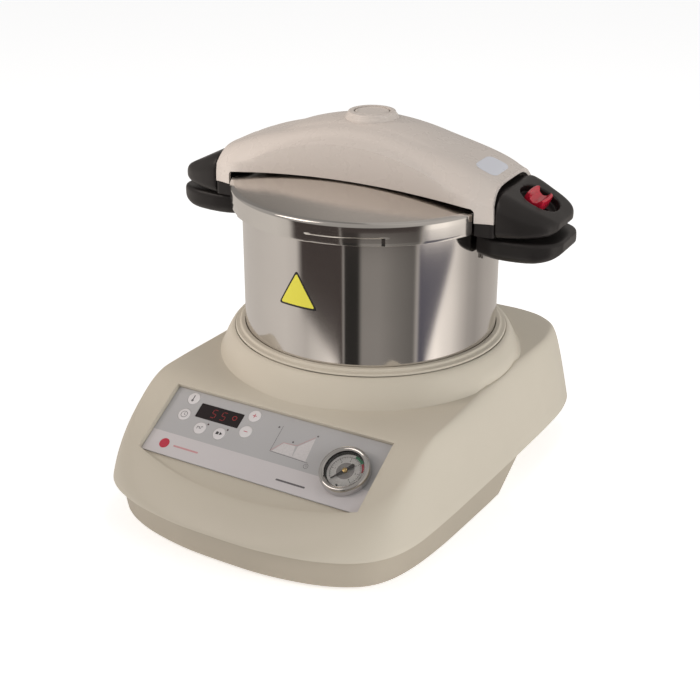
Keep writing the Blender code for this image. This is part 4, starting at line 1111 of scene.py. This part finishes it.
class Sky:
    """World shader: even white light for all rays but mirror rays, which see shaped screens."""

    def __init__(self):
        world = bpy.data.worlds.new("studio_world")
        bpy.context.scene.world = world
        world.use_nodes = True
        self.nodes, self.links = world.node_tree.nodes, world.node_tree.links
        ray = self.nodes.new("ShaderNodeTexCoord").outputs["Generated"]
        split = self.nodes.new("ShaderNodeSeparateXYZ")
        self.links.new(ray, split.inputs["Vector"])
        self.up = split.outputs["Z"]
        angle = self.math('ARCTAN2', split.outputs["Y"], split.outputs["X"])
        self.azimuth = self.math('MULTIPLY', angle, 180 / pi)

    def math(self, operation, a, b):
        node = self.nodes.new("ShaderNodeMath")
        node.operation = operation
        for socket, value in zip(node.inputs, (a, b)):
            if isinstance(value, (int, float)):
                socket.default_value = value
            else:
                self.links.new(value, socket)
        return node.outputs["Value"]

    def step(self, value, low, high):
        node = self.nodes.new("ShaderNodeMapRange")
        node.interpolation_type = 'SMOOTHSTEP'
        node.inputs["From Min"].default_value = low
        node.inputs["From Max"].default_value = high
        self.links.new(value, node.inputs["Value"])
        return node.outputs["Result"]

    def band(self, stops, warm):
        """Ring of screens: brightness against azimuth in degrees."""
        ramp = self.nodes.new("ShaderNodeValToRGB")
        place = self.math('DIVIDE', self.math('ADD', self.azimuth, 180.0), 360.0)
        self.links.new(place, ramp.inputs["Fac"])
        elements = ramp.color_ramp.elements
        elements.remove(elements[-1])
        for number, (azimuth, light) in enumerate(stops):
            spot = (azimuth + 180.0) / 360.0
            stop = elements[0] if number == 0 else elements.new(spot)
            stop.position = spot
            stop.color = (light, light * warm, light * (2 * warm - 1), 1.0)
        return ramp.outputs["Color"]

    def mix(self, share, a, b):
        node = self.nodes.new("ShaderNodeMix")
        node.data_type = 'RGBA'
        self.links.new(share, node.inputs["Factor"])
        for socket, value in ((node.inputs["A"], a), (node.inputs["B"], b)):
            if isinstance(value, tuple):
                socket.default_value = (*value, 1.0)
            else:
                self.links.new(value, socket)
        return node.outputs["Result"]

    def shade(self, color, strength):
        node = self.nodes.new("ShaderNodeBackground")
        node.inputs["Strength"].default_value = strength
        if isinstance(color, tuple):
            node.inputs["Color"].default_value = (*color, 1.0)
        else:
            self.links.new(color, node.inputs["Color"])
        return node.outputs["Background"]


def studio_world():
    """Screens set for the photo's angle: two slanted dark ones, over rings of plain ones."""
    sky = Sky()
    lean = sky.nodes.new("ShaderNodeMapRange")
    for socket, number in zip(("From Min", "From Max", "To Min", "To Max"), (-0.330, -0.418, 0.0, 1.0)):
        lean.inputs[socket].default_value = number
    sky.links.new(sky.up, lean.inputs["Value"])
    fall = lean.outputs["Result"]
    left = sky.step(sky.math('SUBTRACT', sky.azimuth, sky.math('MULTIPLY', fall, 75.6)), -166.0, -161.0)
    left = sky.math('MULTIPLY', left, sky.step(sky.azimuth, -130.0, -122.0))
    left = sky.math('MULTIPLY', left, sky.step(sky.azimuth, -83.0, -86.0))
    right = sky.step(sky.math('ADD', sky.azimuth, sky.math('MULTIPLY', fall, 30.3)), 22.0, 17.0)
    right = sky.math('MULTIPLY', right, sky.step(sky.azimuth, -20.0, -16.0))
    rim = sky.step(sky.up, -0.333, -0.325)
    right = sky.math('MULTIPLY', right, sky.math('SUBTRACT', 1.0, rim))
    middle = sky.step(sky.azimuth, -86.0, -83.0)
    middle = sky.math('MULTIPLY', middle, sky.step(sky.azimuth, -16.0, -26.0))
    left = sky.math('MAXIMUM', left, sky.math('MULTIPLY', rim, middle))
    low = sky.mix(right, sky.mix(left, sky.band(LOW_ROOM, 0.925), BROWN), SLATE)
    color = sky.mix(sky.step(sky.up, -0.16, 0.0), low, sky.band(HIGH_ROOM, 0.94))
    blend = sky.nodes.new("ShaderNodeMixShader")
    path = sky.nodes.new("ShaderNodeLightPath")
    sky.links.new(path.outputs["Is Glossy Ray"], blend.inputs["Fac"])
    sky.links.new(sky.shade((1.0, 1.0, 1.0), WORLD_LIGHT), blend.inputs[1])
    sky.links.new(sky.shade(color, ROOM_LIGHT), blend.inputs[2])
    sky.links.new(blend.outputs["Shader"], sky.nodes["World Output"].inputs["Surface"])


def make_studio():
    floor_look = Look("studio_floor", (0.92, 0.92, 0.92), 0.9)
    floor_look.shader.inputs["Emission Color"].default_value = (1.0, 1.0, 1.0, 1.0)
    floor_look.shader.inputs["Emission Strength"].default_value = 0.52
    bm = bmesh.new()
    bmesh.ops.create_grid(bm, x_segments=2, y_segments=2, size=8.0)
    mesh = mesh_of("studio_floor", bm)
    mesh.materials.append(floor_look.material)
    floor = show("studio_floor", mesh)
    floor.visible_glossy = False
    studio_world()
    area_light("key", (-1.0, -1.2, 1.5), (0, 0, 0.15), (1.0, 1.0), 6.3, (1.0, 0.88, 0.80))
    side = area_light("side", (1.8, -0.1, 0.7), (0, 0, 0.10), (1.0, 0.8), 12)
    top = area_light("top", (0.0, 0.5, 1.6), (0, 0.03, 0.25), (0.5, 0.12), 2.5, (1.0, 0.94, 0.91))
    left = spot_light("left", (-1.1, -0.75, 0.72), (-0.13, -0.01, 0.27), 26, 0.10, 42.0, (1.0, 0.92, 0.87))
    for light in (side, top, left):
        light.visible_glossy = False
    bpy.context.scene.view_settings.view_transform = 'Standard'


def make_camera():
    camera = bpy.data.cameras.new("camera")
    camera.sensor_width = 36.0
    camera.lens = 68.4
    camera.clip_start = 0.05
    holder = show("camera", camera)
    holder.location = (0.5397, -0.9429 + AXIS_Y, 0.5792)
    holder.rotation_euler = (radians(90 - 24.0), 0, radians(30.75))
    bpy.context.scene.camera = holder


dress()
make_casing()
make_tray()
make_collar()
make_pot()
make_lid()
make_cover()
make_handles()
make_panel()
make_gauge()
make_stickers()
make_studio()
make_camera()
